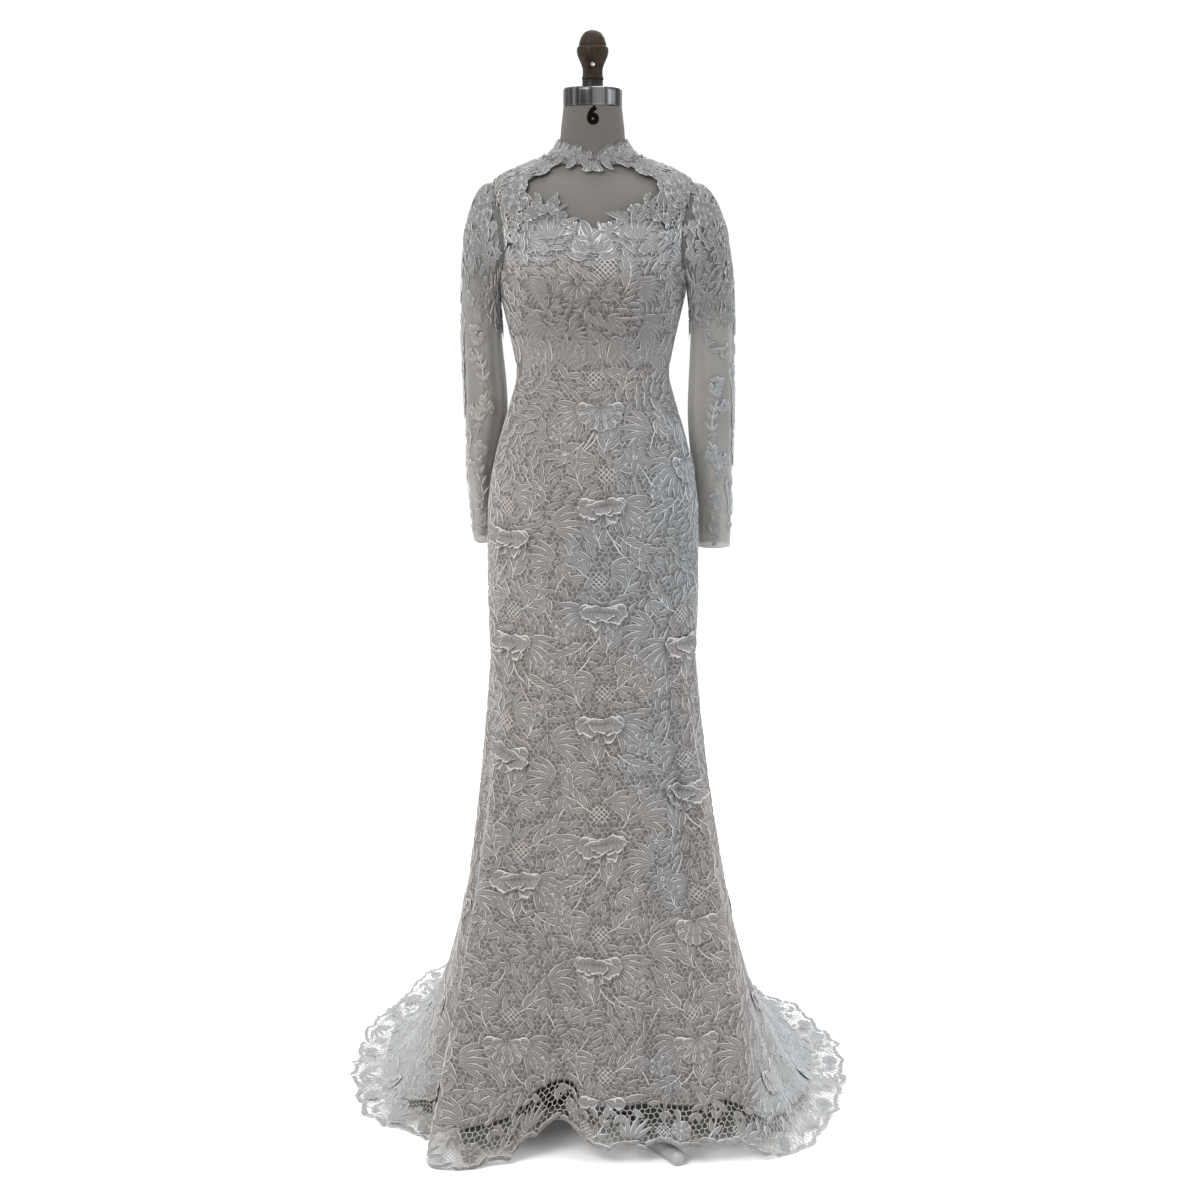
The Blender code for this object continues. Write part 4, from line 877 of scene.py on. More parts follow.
def sewLace(name, lace, place, material=None, keep=None, base=0.0004, shares=(0.45,)):
    # builds every motif of one panel as one mesh; place maps flat metres to the cloth
    points, faces, motifs, uvs, count, kept = [], [], [], [], 0, 0
    for kind, shape in shapes.items():
        rows = np.array([row[1:] for row in lace.rows if row[0] == kind])
        if not len(rows):
            continue
        if keep is not None:
            tests = shares if kind != "stem" else (0.03, 0.3, 0.6, 0.97)
            good = np.all([keep(*along(rows, share)) for share in tests], axis=0)
            rows = rows[good]
        if not len(rows):
            continue
        px, py, h, uv = motifPoints(kind, *rows.T)
        size = len(shape["a"])
        points.append(place(rows[:, 0], rows[:, 1], px, py, base + h).reshape(-1, 3))
        faces.append((shape["faces"][None] + (np.arange(len(rows)) * size)[:, None, None] + count).reshape(-1, 4))
        motifs.append(np.tile(shape["motif"], (len(rows), 1)))
        uvs.append((uv + rows[:, None, :2] * 7.3).reshape(-1, 2))
        count += len(rows) * size
        kept += len(rows)
    points, faces = np.concatenate(points), np.concatenate(faces)
    piece = addMesh(name, points, faces, material or laceCord, (), np.concatenate(uvs), np.concatenate(motifs))
    print(name, "with", kept, "motifs,", 2 * len(faces), "triangles")
    return piece


framePlan = {"reach": 150, "step": 0.02}  # degrees to each side of the middle line, and metres between rows


class PanelFrame:
    # flat metres on the cloth: x is the distance from a middle line at the same t, and y is -t
    def __init__(self, middle):
        self.middle = middle
        self.span = np.arange(-framePlan["reach"], framePlan["reach"] + 1.0)
        self.ts = np.arange(clothTop, clothEnd, framePlan["step"])
        walks = [walked(onCloth(middle(t) + self.span, np.full(len(self.span), t))[None])[0] for t in self.ts]
        self.walks = np.array([walk - walk[framePlan["reach"]] for walk in walks])

    def angleAt(self, x, y):
        t = -np.asarray(y, float)
        x = np.asarray(x, float)
        j = np.clip(((t - clothTop) / framePlan["step"]).astype(int), 0, len(self.ts) - 1)
        flat = [np.interp(a, self.walks[k], self.span) for a, k in zip(x.ravel(), j.ravel())]
        return np.array(flat).reshape(x.shape) + self.middle(t)

    def flatOf(self, angle, t):
        j = int(np.clip((t - clothTop) / framePlan["step"], 0, len(self.ts) - 1))
        off = wrapped(angle - float(self.middle(t)))
        return float(np.interp(off, self.span, self.walks[j])), -t

    def flatAll(self, angle, t):
        # flat places of many points, for cloth that keeps its weave even
        off = wrapped(angle - self.middle(t))
        share = np.clip((t - clothTop) / framePlan["step"], 0, len(self.ts) - 1.001)
        low = share.astype(int)
        spot = np.clip(off - self.span[0], 0, len(self.span) - 1.001)
        i = spot.astype(int)
        a, b = share - low, spot - i
        lower = self.walks[low, i] * (1 - b) + self.walks[low, i + 1] * b
        upper = self.walks[low + 1, i] * (1 - b) + self.walks[low + 1, i + 1] * b
        return np.stack([lower * (1 - a) + upper * a, -t], -1)

    def place(self, x, y, px, py, out):
        centre = self.angleAt(x, y)
        width = np.maximum(perDegree(centre, -y), 0.0006)
        angle = centre[:, None] + (px - x[:, None]) / width[:, None]
        return onCloth(angle, -py, out)


def wrapTo(panel, angle):
    if panel == "skirt_front":
        return wrapped(angle)
    return angle % 360 if panel == "skirt_back_left" else angle % 360 - 360


def insidePanel(panel, panelFrame, margin=0.0, low=0.004, high=1.995):
    start, end = panels[panel]

    def keep(x, y):
        angle = panelFrame.angleAt(x, y)
        run = runOfT(angle, -np.asarray(y, float))
        edge = margin / np.maximum(perDegree(angle, -np.asarray(y, float)), 0.001)
        turned = wrapTo(panel, angle)
        return (turned > start(run) + edge) & (turned < end(run) - edge) & (run > low) & (run < high)
    return keep


def holds(keep, x, y):
    # the test of one point
    return bool(keep(np.array([x]), np.array([y]))[0])


def nodeMiddle(node):
    low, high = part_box(node)
    return (np.array(low) + np.array(high)) / 2


def nearestOnCloth(point):
    away = np.linalg.norm(clothPoints - point, axis=2)
    i, j = np.unravel_index(int(away.argmin()), away.shape)
    return float(mapAngles[i]), clothTop + clothStep * j


petalNodes = sorted(n for n in nodes if n.startswith("petal_"))
petalSpots = [nearestOnCloth(nodeMiddle(n)) for n in petalNodes]
panelFrames = {
    "skirt_front": PanelFrame(lambda t: np.asarray(t, float) * 0 + 3.0),
    "skirt_back_left": PanelFrame(lambda t: 135.0 - 12 * ramp(0.4, 1.2, t)),
    "skirt_back_right": PanelFrame(lambda t: -135.0 + 12 * ramp(0.4, 1.2, t)),
}
# lining shells of the skirt, with the columns and rows of each
skirtPieces = {"skirt_front": (100, 190), "skirt_back_left": (120, 210), "skirt_back_right": (120, 210)}


def surfaceArea(points, faces):
    # of three-sided or four-sided faces
    corners = [points[faces[:, i]] for i in range(faces.shape[1])]
    second = corners[3] - corners[1] if len(corners) == 4 else corners[1] - corners[0]
    return float(np.linalg.norm(np.cross(corners[2] - corners[0], second), axis=1).sum() / 2)


sheetOf = {}
for panel, plan in skirtPieces.items():
    cells, faces = gridCells(*plan)
    run = (1 - cells[:, 1]) * 2
    angle = panelAngle(panel, cells[:, 0], run)
    t = tOfRun(angle, run)
    points = onCloth(angle, t)
    faces = faceOut(points, faces, lookUp(clothNormals, angle, t))
    piece = addMesh(panel.replace("skirt", "skirtPanel"), points, faces, groundOnSkirt, [panel],
                    uv=panelFrames[panel].flatAll(angle, t))
    sheetOf[panel] = (piece, surfaceArea(points, faces))
    print(piece.name, round(sheetOf[panel][1], 3), "m2")

repeat = {"width": 0.150, "height": 0.178, "apart": 0.110, "top": -0.055, "shift": 0.004, "columns": 6, "rows": 12}


def layRepeats(lace, keep, centres):
    for column in range(-repeat["columns"], repeat["columns"] + 1):
        for row in range(repeat["rows"]):
            x = column * repeat["width"] + repeat["shift"]
            y = repeat["top"] - row * repeat["height"] - (repeat["height"] / 2 if column % 2 else 0)
            clear = all((x - cx) ** 2 + ((y - cy) * 0.85) ** 2 > repeat["apart"] ** 2 for cx, cy in centres)
            if clear and holds(keep, x, y):
                centres.append((x, y))
    for k, (x, y) in enumerate(centres):
        lace.stamp(bouquet, x, y, mirror=bool(k % 2))


laceOnSkirt = {}
for seed, (panel, panelFrame) in enumerate(panelFrames.items()):
    keep = insidePanel(panel, panelFrame, -0.004)
    lace, centres = Lace(), []
    for angle, t in petalSpots:
        x, y = panelFrame.flatOf(angle, t)
        if abs(x) < 1.0 and holds(keep, x, y):
            centres.append((x, y + 0.010))
    layRepeats(lace, keep, centres)
    fillBetween(lace, -0.30, 0.30, -0.26, 0.0, keep, "fine", 0.0110, seed + 13)
    if panel == "skirt_front":
        fillBetween(lace, -0.45, 0.45, -1.2, -0.26, keep, "fine", 0.0150, seed + 23)
    fillBetween(lace, -0.95, 0.95, -1.95, 0.0, keep, "open", 0.0175, seed + 3)
    parts = {"": (0.004, 1.995)} if panel != "skirt_front" else {"Upper": (0.004, 1.25), "Lower": (1.25, 1.995)}
    laceOnSkirt[panel] = [sewLace("laceOn" + panel.title().replace("_", "") + part, lace, panelFrame.place,
                                  keep=insidePanel(panel, panelFrame, -0.004, *span))
                          for part, span in parts.items()]

# ruffled petals of the skirt: a rolled upper lip, puffed middle and a free edge that stands off in lobes
petalPlan = {"columns": 22, "rows": 9, "base": 0.0014, "ribs": 6.0, "tilt": (-18, 8)}
flaps = (  # middle, way it grows, width, reach, stand-off at its free edge, puff, bumps along its edge
    (-0.010, 0.000, 104, 0.046, 0.012, 0.0026, 0.0028, 1.4), (0.017, 0.001, 74, 0.036, 0.015, 0.0036, 0.0026, 1.5),
    (0.010, 0.001, -84, 0.022, 0.026, 0.0040, 0.0022, 0.9), (-0.018, 0.004, -106, 0.040, 0.019, 0.0092, 0.0022, 2.0),
    (0.014, 0.005, -76, 0.042, 0.016, 0.0088, 0.0020, 2.3), (-0.002, 0.004, -94, 0.030, 0.013, 0.0108, 0.0014, 1.7),
)


def flapPoints(plan, shift, size, calm):
    # a flap of cloth: narrow where it is sewn, its free edge rounded, bumpy and standing off
    x, y, turn, width, reach, stand, puff, bumps = plan
    stand = stand * calm
    cells, quads = gridCells(petalPlan["columns"], petalPlan["rows"])
    u, v = 2 * cells[:, 0] - 1, cells[:, 1]
    wave = 0.7 * np.cos(bumps * math.pi * u + shift) + 0.4 * np.cos(2.3 * bumps * math.pi * u - 2 * shift)
    flatX = width / 2 * u * (0.66 + 0.34 * np.sin(math.pi * (0.12 + 0.62 * v))) * size
    flatY = v * reach * (1 - 0.55 * np.abs(u) ** 2.2) * (1 + 0.13 * wave) * size
    lip = np.clip((v - 0.86) / 0.14, 0, 1)
    out = petalPlan["base"] + stand * v**1.5 * (1 + 0.28 * wave) + puff * np.sin(math.pi * v) * (1 - u * u)
    out = out - 0.0009 * lip**2
    rib = ramp(0.45, 0.95, np.cos(petalPlan["ribs"] * math.pi * u + 0.6 * shift)) * (1 - ramp(0.6, 0.9, v))
    out = out + 0.0004 * rib
    # on the free edge and the sides across is 1, the pale rim cord, which also carries a painted highlight of the edge;
    # between them the ribs are paler cord lines
    across = np.where((v > 0.88) | (np.abs(u) > 0.97), 1.0, 0.28 + 0.50 * rib)
    c, s = math.cos(math.radians(turn - 90)), math.sin(math.radians(turn - 90))
    return (x * size + flatX * c - flatY * s, y * size + flatX * s + flatY * c, out,
            np.stack([v, across, np.ones_like(u)], -1), quads)


def makePetals():
    points, faces, uvs, motifs, count = [], [], [], [], 0
    local = np.random.default_rng(17)
    for k, (angle, t) in enumerate(petalSpots):
        panelFrame = next(f for p, f in panelFrames.items() if holds(insidePanel(p, f), *f.flatOf(angle, t)))
        x, y = panelFrame.flatOf(angle, t)
        tilt, mirror = math.radians(local.uniform(*petalPlan["tilt"])), -1 if k % 3 == 1 else 1
        size = local.uniform(0.93, 1.05)
        calm = 0.4 if 62 < abs(angle) < 118 else 1.0
        for plan in flaps:
            flatX, flatY, out, motif, quads = flapPoints(plan, local.uniform(0, 6.28), size, calm)
            flatX = flatX * mirror
            px = flatX * math.cos(tilt) - flatY * math.sin(tilt)
            py = flatX * math.sin(tilt) + flatY * math.cos(tilt)
            points.append(panelFrame.place(np.array([x]), np.array([y]), (x + px)[None], (y + py)[None], out[None])[0])
            faces.append((quads if mirror > 0 else quads[:, ::-1]) + count)
            uvs.append(np.stack([flatX + 0.3 * k, flatY], -1))
            motifs.append(motif)
            count += len(flatX)
    points, faces = np.concatenate(points), np.concatenate(faces)
    piece = addMesh("ruffledPetals", points, faceOut(points, faces, points * (1, 1, 0)), petalCord,
                    petalNodes, np.concatenate(uvs), np.concatenate(motifs))
    thick = piece.modifiers.new("cloth", "SOLIDIFY")
    thick.thickness, thick.offset = 0.0007, -1.0
    return piece


ruffledPetals = makePetals()

# bodice, yokes and collar
neckEdges = {
    "sweetheart": smoothCurve([0, 13, 32, 50, 70, 90], [1.418, 1.437, 1.459, 1.455, 1.425, 1.3919]),
    "collarBottom": smoothCurve([0, 36, 90, 180], [1.5190, 1.5235, 1.5385, 1.5420]),
    "collarTop": smoothCurve([0, 14, 34, 90, 180], [1.5320, 1.5455, 1.5520, 1.5600, 1.5620]),
    "keyholeAngle": smoothCurve([0, 0.25, 0.5, 0.75, 1], [25, 38, 45, 42, 36]),
    "keyholeHeight": smoothCurve([0, 0.25, 0.5, 0.75, 1], [1.4600, 1.4760, 1.4900, 1.5060, 1.5232]),
    "keyholeAt": smoothCurve([1.4600, 1.4760, 1.4900, 1.5060, 1.5232], [25, 38, 45, 42, 36]),
    "liningShare": 0.692, "yokeStart": 36, "collarBack": 179.6,
}
shellPlan = {"bodice": (80, 64), "back": (44, 100), "yoke": (30, 48), "collar": (150, 10), "sleeve": (72, 90),
             "uvRadius": 0.13}  # columns and rows of each shell
armpit = dress["armholeHeight"] - dress["armholeHalfHeight"]
shoulderTip = dress["armholeHeight"] + dress["armholeHalfHeight"]
shoulderRise = (float(neckEdges["collarBottom"](90)) - dress["seamGap"] - shoulderTip) / 3


def armholeRim(turn, behind):
    # height and angle of the armhole's oval at a turn round it, -90 at the armpit
    reach = dress["armholeBack"] if behind else dress["armholeFront"]
    away = reach * np.cos(np.radians(turn))
    height = dress["armholeHeight"] + dress["armholeHalfHeight"] * np.sin(np.radians(turn))
    return height, 90 + (away if behind else -away)


def gapAngle(height):
    return np.degrees(dress["seamGap"] / 2 / ring["halfWidth"](height))


def placeBodiceFront(u, v):
    row = v * 6
    turn = -90 + 22.5 * np.clip(row - 3, 0, 3)
    height, edge = armholeRim(turn, False)
    height = np.where(row < 3, dress["waist"] + (armpit - dress["waist"]) * row / 3, height)
    edge = np.where(row < 3, 90.0, edge)
    nominal = -90 + 180 * u
    share = np.abs(nominal) / 90
    even = dress["waist"] + (neckEdges["sweetheart"](np.abs(nominal)) - dress["waist"]) * v
    height = even + (height - even) * share**4
    edge = edge - gapAngle(height)
    return nominal * (1 - (1 - edge / 90) * share ** (2 * (1 - v))), height


def placeBodiceBack(u, v):
    row = v * 14
    turn = -90 + 22.5 * np.clip(row - 3, 0, 8)
    height, edge = armholeRim(turn, True)
    height = np.where(row < 3, dress["waist"] + (armpit - dress["waist"]) * row / 3, height)
    height = np.where(row > 11, shoulderTip + shoulderRise * (row - 11), height)
    edge = np.where((row < 3) | (row > 11), 90.0, edge)
    near = edge + gapAngle(height)
    angle = near + (180 - gapAngle(dress["waist"]) - near) * u
    even = dress["waist"] + (neckEdges["collarBottom"](angle) - dress["seamGap"] - dress["waist"]) * v
    return angle, even + (height - even) * (1 - u**2)


def placeYoke(u, v):
    row = v * 8
    turn = -22.5 + 22.5 * np.clip(row, 0, 5)
    height, edge = armholeRim(turn, False)
    height = np.where(row > 5, shoulderTip + shoulderRise * (row - 5), height)
    edge = np.where(row > 5, 90.0, edge) - gapAngle(height)
    inner, innerHeight = neckEdges["keyholeAngle"](v), neckEdges["keyholeHeight"](v)
    angle, height = inner + (edge - inner) * u, innerHeight + (height - innerHeight) * u
    nominal = neckEdges["yokeStart"] + (90 - neckEdges["yokeStart"]) * u
    lowest = np.clip(1 - row, 0, 1)
    height = height + (neckEdges["sweetheart"](nominal) + dress["seamGap"] - height) * lowest
    angle = angle + (nominal * neckEdges["liningShare"] - angle) * lowest
    highest = np.clip(row - 7, 0, 1)
    return angle, height + (neckEdges["collarBottom"](angle) - dress["seamGap"] - height) * highest


def placeCollar(u, v):
    angle = (2 * u - 1) * neckEdges["collarBack"]
    low, high = neckEdges["collarBottom"](np.abs(angle)), neckEdges["collarTop"](np.abs(angle))
    wave = 0.0016 * np.cos(np.radians(angle) * 15) * ramp(6, 20, np.abs(angle))
    return angle, low + dress["seamGap"] + (high + wave - low) * v


def bodyNormal(angle, height):
    step = 0.25
    along = bodyPoint(angle, height + 0.002) - bodyPoint(angle, height - 0.002)
    across = bodyPoint(angle + step, height) - bodyPoint(angle - step, height)
    return unit(np.cross(across, along))


def addBodyShell(name, node, kind, place, mirror=1, material=groundOnBodice):
    cells, faces = gridCells(*shellPlan[kind])
    angle, height = place(cells[:, 0], cells[:, 1])
    angle = angle * mirror
    points = bodyPoint(angle, height)
    uv = np.stack([np.radians(angle) * shellPlan["uvRadius"], height], -1)
    faces = faceOut(points, faces, bodyNormal(angle, height))
    sheetOf[node] = (addMesh(name, points, faces, material, [node], uv), surfaceArea(points, faces))


addBodyShell("bodiceFront", "bodice_front", "bodice", placeBodiceFront)
for side, sign in sideSign.items():
    addBodyShell(f"bodiceBack_{side}", f"bodice_back_{side}", "back", placeBodiceBack, sign)
    addBodyShell(f"yoke_{side}", f"yoke_front_{side}", "yoke", placeYoke, sign, sheerTulle)
addBodyShell("collarBand", "collar", "collar", placeCollar)

upperFrames = {name: PanelFrame(lambda t, at=at: np.asarray(t, float) * 0 + at)
               for name, at in (("front", 0.0), ("left", 130.0), ("right", -130.0))}


def upperRegion(angle, height):
    # which cloth a point of the upper body belongs to
    angle = wrapped(angle)
    wide = np.abs(angle)
    reach = np.where(wide > 90, dress["armholeBack"], dress["armholeFront"])
    armhole = ((wide - 90) / reach) ** 2 + ((height - dress["armholeHeight"]) / dress["armholeHalfHeight"]) ** 2 < 0.98
    sweetheart = neckEdges["sweetheart"](wide / neckEdges["liningShare"])
    collar = neckEdges["collarBottom"](wide)
    keyhole = (height > sweetheart) & (height < collar) & (wide < neckEdges["keyholeAt"](height)) & (wide < 60)
    region = np.full(np.shape(angle), "none", dtype="U8")
    region[(wide <= 90) & (height <= sweetheart)] = "bodice"
    region[(wide <= 90) & (height > sweetheart) & (height < collar)] = "yoke"
    region[(wide > 90) & (height < collar)] = "back"
    region[armhole | (height < dress["waist"] + 0.002)] = "none"
    region[keyhole] = "keyhole"
    region[(height >= collar) & (height < neckEdges["collarTop"](wide))] = "collar"
    return region


def keepUpper(panelFrame, names, side=0):
    def keep(x, y):
        angle = panelFrame.angleAt(x, y)
        height = lookUp(clothPoints, angle, -np.asarray(y, float))[..., 2]
        good = np.isin(upperRegion(angle, height), names)
        return good & (wrapped(angle) * side >= 0)
    return keep


def upperFlat(panelFrame, angle, height):
    return panelFrame.flatOf(angle, float(tAt(angle, height)))


def drawBodice():
    # big shapes below the neckline, a fan under its centre and bands that curve in to the waist
    lace, panelFrame = Lace(), upperFrames["front"]
    x, y = upperFlat(panelFrame, 0, 1.388)
    lace.flower(x, y, 3, 0.040, 90, 140, 0.0, 0.034, heart=False)
    lace.wing(x - 0.012, y - 0.004, 168, -50, 4, 0.040, 0.0095, -0.5)
    lace.wing(x + 0.014, y - 0.004, 12, 50, 4, 0.038, 0.0095, 0.5)
    lace.lattice(x + 0.020, y - 0.016, 0.020, 0.010)
    for side in (-1, 1):
        for angle, height, turn, fan, count, length in ((26, 1.352, 20, -44, 7, 0.046), (34, 1.300, 6, -50, 8, 0.050),
                                                        (60, 1.372, 56, -60, 6, 0.040), (12, 1.262, -4, -40, 7, 0.044),
                                                        (40, 1.252, 30, -44, 7, 0.042), (68, 1.300, 70, -50, 6, 0.040)):
            x, y = upperFlat(panelFrame, side * angle, height)
            lace.wing(x, y, turn if side > 0 else 180 - turn, fan * side, count, length, 0.0062, -0.8 * side, 0.0030)
        x, y = upperFlat(panelFrame, side * 26, 1.412)
        lace.wing(x, y, 60 if side > 0 else 120, 60 * side, 5, 0.034, 0.0090, 0.5 * side)
    x, y = upperFlat(panelFrame, -8, 1.352)
    lace.flower(x, y, 7, 0.030, 250, 200, 0.0, 0.0115, heart=False)
    x, y = upperFlat(panelFrame, 18, 1.336)
    lace.plume(x, y, 60, 0.050, 4, 0.027, 0.0082, 0.9)
    for angle, height, turn, flip in ((-44, 1.412, 20, False), (46, 1.412, -20, True), (-70, 1.330, 60, True),
                                      (70, 1.330, -60, False), (2, 1.296, 10, False), (-52, 1.256, 70, True),
                                      (56, 1.256, -60, False), (-20, 1.245, 40, True)):
        x, y = upperFlat(panelFrame, angle, height)
        lace.stamp(plainBouquet, x, y, turn, 0.56, flip)
    for k, angle in enumerate(range(-86, 90, 14)):
        x, y = upperFlat(panelFrame, angle, 1.2225)
        lace.wing(x, y + 0.004, 35 + 30 * math.sin(k * 2.2), 60, 4, 0.040, 0.0100, 0.6, 0.0060)
    return lace


def drawBack(side):
    lace, panelFrame = Lace(), upperFrames[side]
    sign = sideSign[side]
    for angle, height, turn in ((118, 1.300, 10), (150, 1.262, -20), (140, 1.372, 30), (166, 1.455, 0),
                                (150, 1.515, -60),
                                (112, 1.235, 70)):
        x, y = upperFlat(panelFrame, angle * sign, height)
        lace.stamp(plainBouquet, x, y, turn * sign, 0.75, sign < 0)
    return lace


def drawYoke(side):
    # flowers and leaves over the shoulder, thick and close
    lace, panelFrame = Lace(), upperFrames["front"]
    sign = sideSign[side]
    for angle, height, size, turn in ((38, 1.462, 0.75, 10), (56, 1.500, 0.7, 60), (30, 1.515, 0.5, -30),
                                      (72, 1.520, 0.6, 100)):
        x, y = upperFlat(panelFrame, angle * sign, height)
        lace.stamp(plainBouquet, x, y, turn * sign, size, sign > 0)
    flowers = {"left": ((56, 1.480, 0.024), (68, 1.516, 0.018), (42, 1.508, 0.013)),
               "right": ((50, 1.474, 0.022), (64, 1.508, 0.018), (46, 1.510, 0.012))}
    for k, (angle, height, radius) in enumerate(flowers[side]):
        x, y = upperFlat(panelFrame, angle * sign, height)
        lace.flower(x, y, 6, radius, 17 * k, lift=0.002)
        lace.flower(x, y, 5, radius * 0.6, 17 * k + 30, lift=0.003)
    return lace


bodiceLace = drawBodice()
fillBetween(bodiceLace, -0.20, 0.20, -0.01, 0.30, keepUpper(upperFrames["front"], ["bodice"]), "fine", 0.0095, 21)
laceOnUpper = {"bodice_front": [sewLace("laceOnBodiceFront", bodiceLace, upperFrames["front"].place,
                                        keep=keepUpper(upperFrames["front"], ["bodice"]))]}
for side, sign in sideSign.items():
    backLace, keep = drawBack(side), keepUpper(upperFrames[side], ["back"], sign)
    fillBetween(backLace, -0.16, 0.16, -0.01, 0.44, keep, "open", 0.0105, 31)
    laceOnUpper[f"bodice_back_{side}"] = [sewLace(f"laceOnBodiceBack_{side}", backLace, upperFrames[side].place,
                                                  keep=keep)]
    yokeLace, keep = drawYoke(side), keepUpper(upperFrames["front"], ["yoke"], sign)
    fillBetween(yokeLace, -0.22, 0.22, 0.15, 0.44, keep, "fine", 0.013, 41)
    laceOnUpper[f"yoke_front_{side}"] = [sewLace(f"laceOnYoke_{side}", yokeLace, upperFrames["front"].place,
                                                 keep=keep, base=0.0012, shares=(0.1, 0.5, 0.9))]


def drawNeckline():
    # rounded leaves and small flowers along the edges of the keyhole, some reaching over it
    lace, panelFrame = Lace(), upperFrames["front"]
    local = np.random.default_rng(8)
    for k, angle in enumerate(np.arange(-52, 53, 4.0)):
        low = 0.0095 + 0.010 * math.exp(-((angle / 7) ** 2))
        x, y = upperFlat(panelFrame, angle, float(neckEdges["sweetheart"](abs(angle) / neckEdges["liningShare"])) - low)
        if k % 4 == 1:
            lace.flower(x, y + 0.002, 5, 0.0085, angle * 9)
        elif k % 4 == 3:
            lace.flower(x, y, 3, 0.0125, 90 - angle * 0.6, 120, heart=False)
        else:
            lace.add("leaf", x, y, 90 - np.sign(angle) * local.uniform(30, 75), local.uniform(0.014, 0.020), 0.0088,
                     0.5)
    x, y = upperFlat(panelFrame, -1.0, 1.4150)
    lace.add("leaf", x, y, 116, 0.032, 0.0165, 0.20, 0.002, high=0.0024)
    lace.add("leaf", x + 0.003, y - 0.004, 52, 0.022, 0.0100, -0.4, 0.001, high=0.0018)
    lace.add("leaf", x - 0.003, y - 0.004, 152, 0.022, 0.0090, 0.5, 0.001, high=0.0018)
    for px, turn, length, bend in ((-0.004, 170, 0.034, -2.2), (0.006, 20, 0.034, 2.0)):
        lace.add("stem", x + px, y - 0.006, turn, length, 0.0026, bend, high=0.0016)
    x, y = upperFlat(panelFrame, 17, 1.4400)
    for turn, length, away in ((162, 0.030, 0.000), (136, 0.020, 0.003), (66, 0.022, 0.010), (38, 0.022, 0.016)):
        lace.add("leaf", x + away, y, turn, length, 0.0098, 0.2, 0.001, high=0.0020)
    x, y = upperFlat(panelFrame, -22, 1.463)
    lace.flower(x, y, 5, 0.0100, 12)
    lace.add("leaf", x + 0.004, y + 0.004, 70, 0.016, 0.0080, 0.3)
    for side in (-1, 1):
        for k, share in enumerate(np.arange(0.02, 1.0, 0.115)):
            angle = side * float(neckEdges["keyholeAngle"](share))
            x, y = upperFlat(panelFrame, angle, float(neckEdges["keyholeHeight"](share)))
            inward = 180 if side > 0 else 0
            if k % 3 == 1:
                lace.flower(x + side * 0.004, y, 4, 0.0105, inward, 150, heart=False)
            else:
                lace.add("leaf", x + side * 0.011, y + 0.002,
                         inward - side * (60 * share - 45) + local.uniform(-14, 14),
                         local.uniform(0.018, 0.026), 0.0080, 0.5 * side)
    for k, angle in enumerate(np.arange(-33, 34, 6.6)):
        x, y = upperFlat(panelFrame, angle, float(neckEdges["collarBottom"](abs(angle))) + 0.003)
        if abs(angle) < 10:
            lace.add("petal", x, y + 0.006, -90 + 2.2 * angle, 0.0165, 0.0125)
        else:
            lace.add("leaf", x, y + 0.003, -90 + angle * 1.2 + (40 if k % 2 else -40), 0.016, 0.0090, 0.4)
    return lace


def drawCollar():
    # leaves and flowers round the collar; x is degrees and y a height here
    lace = Lace()
    for k, angle in enumerate(np.arange(-174, 175, 11.6)):
        low, high = (float(neckEdges[key](abs(angle))) for key in ("collarBottom", "collarTop"))
        if abs(angle) < 5:
            continue
        middle, tall = (low + high) / 2, (high - low) / 0.024
        local = Lace()
        if k % 2:
            local.flower(0, 0, 5, 0.0105, angle * 7)
            local.spray(0.002, 0.002, 60, 3, 90, 0.014, 0.0078, 0.4)
        else:
            local.spray(0, -0.006, 90 - np.sign(angle) * 40, 3, 100, 0.019, 0.0098, 0.6)
            local.spray(0.006, 0.004, 20, 2, 80, 0.013, 0.0078, 0.4)
        for kind, x, y, turn, length, width, bend, lift, standing in local.rows:
            lace.rows.append((kind, angle + x / 0.00105, middle + y * tall * 0.8, turn,
                              length * max(0.75, tall * 0.85), width, bend, lift, standing))
    return lace


def placeOnCollar(x, y, px, py, out):
    # x is degrees round the neck and y a height
    wide = np.maximum(np.linalg.norm(bodyPoint(x + 1, y) - bodyPoint(x - 1, y), axis=-1) / 2, 0.0004)[:, None]
    steep = bodyPoint(x, y + 0.002) - bodyPoint(x, y - 0.002)
    steep = (0.004 / np.maximum(np.linalg.norm(steep, axis=-1), 1e-6))[:, None]
    angle, height = x[:, None] + (px - x[:, None]) / wide, y[:, None] + (py - y[:, None]) * np.maximum(steep, 0.35)
    return bodyPoint(angle, height) + bodyNormal(angle, height) * out[..., None]


laceOnUpper["collar"] = [
    sewLace("laceAlongNeckline", drawNeckline(), upperFrames["front"].place, base=0.0014),
    sewLace("leavesOnCollar", drawCollar(), placeOnCollar, base=0.0006)]


# sleeves
sleeveLook = {"fold": 0.0009, "folds": (7, 11), "across": 0.00065, "turnStep": 4.0, "runStep": 0.02, "uvLength": 0.27}
ringCurves = {side: {key: smoothCurve(plan["height"][::-1], plan[key][::-1])
                     for key in ("x", "y", "halfWidth", "halfDepth")} for side, plan in sleeveRings.items()}


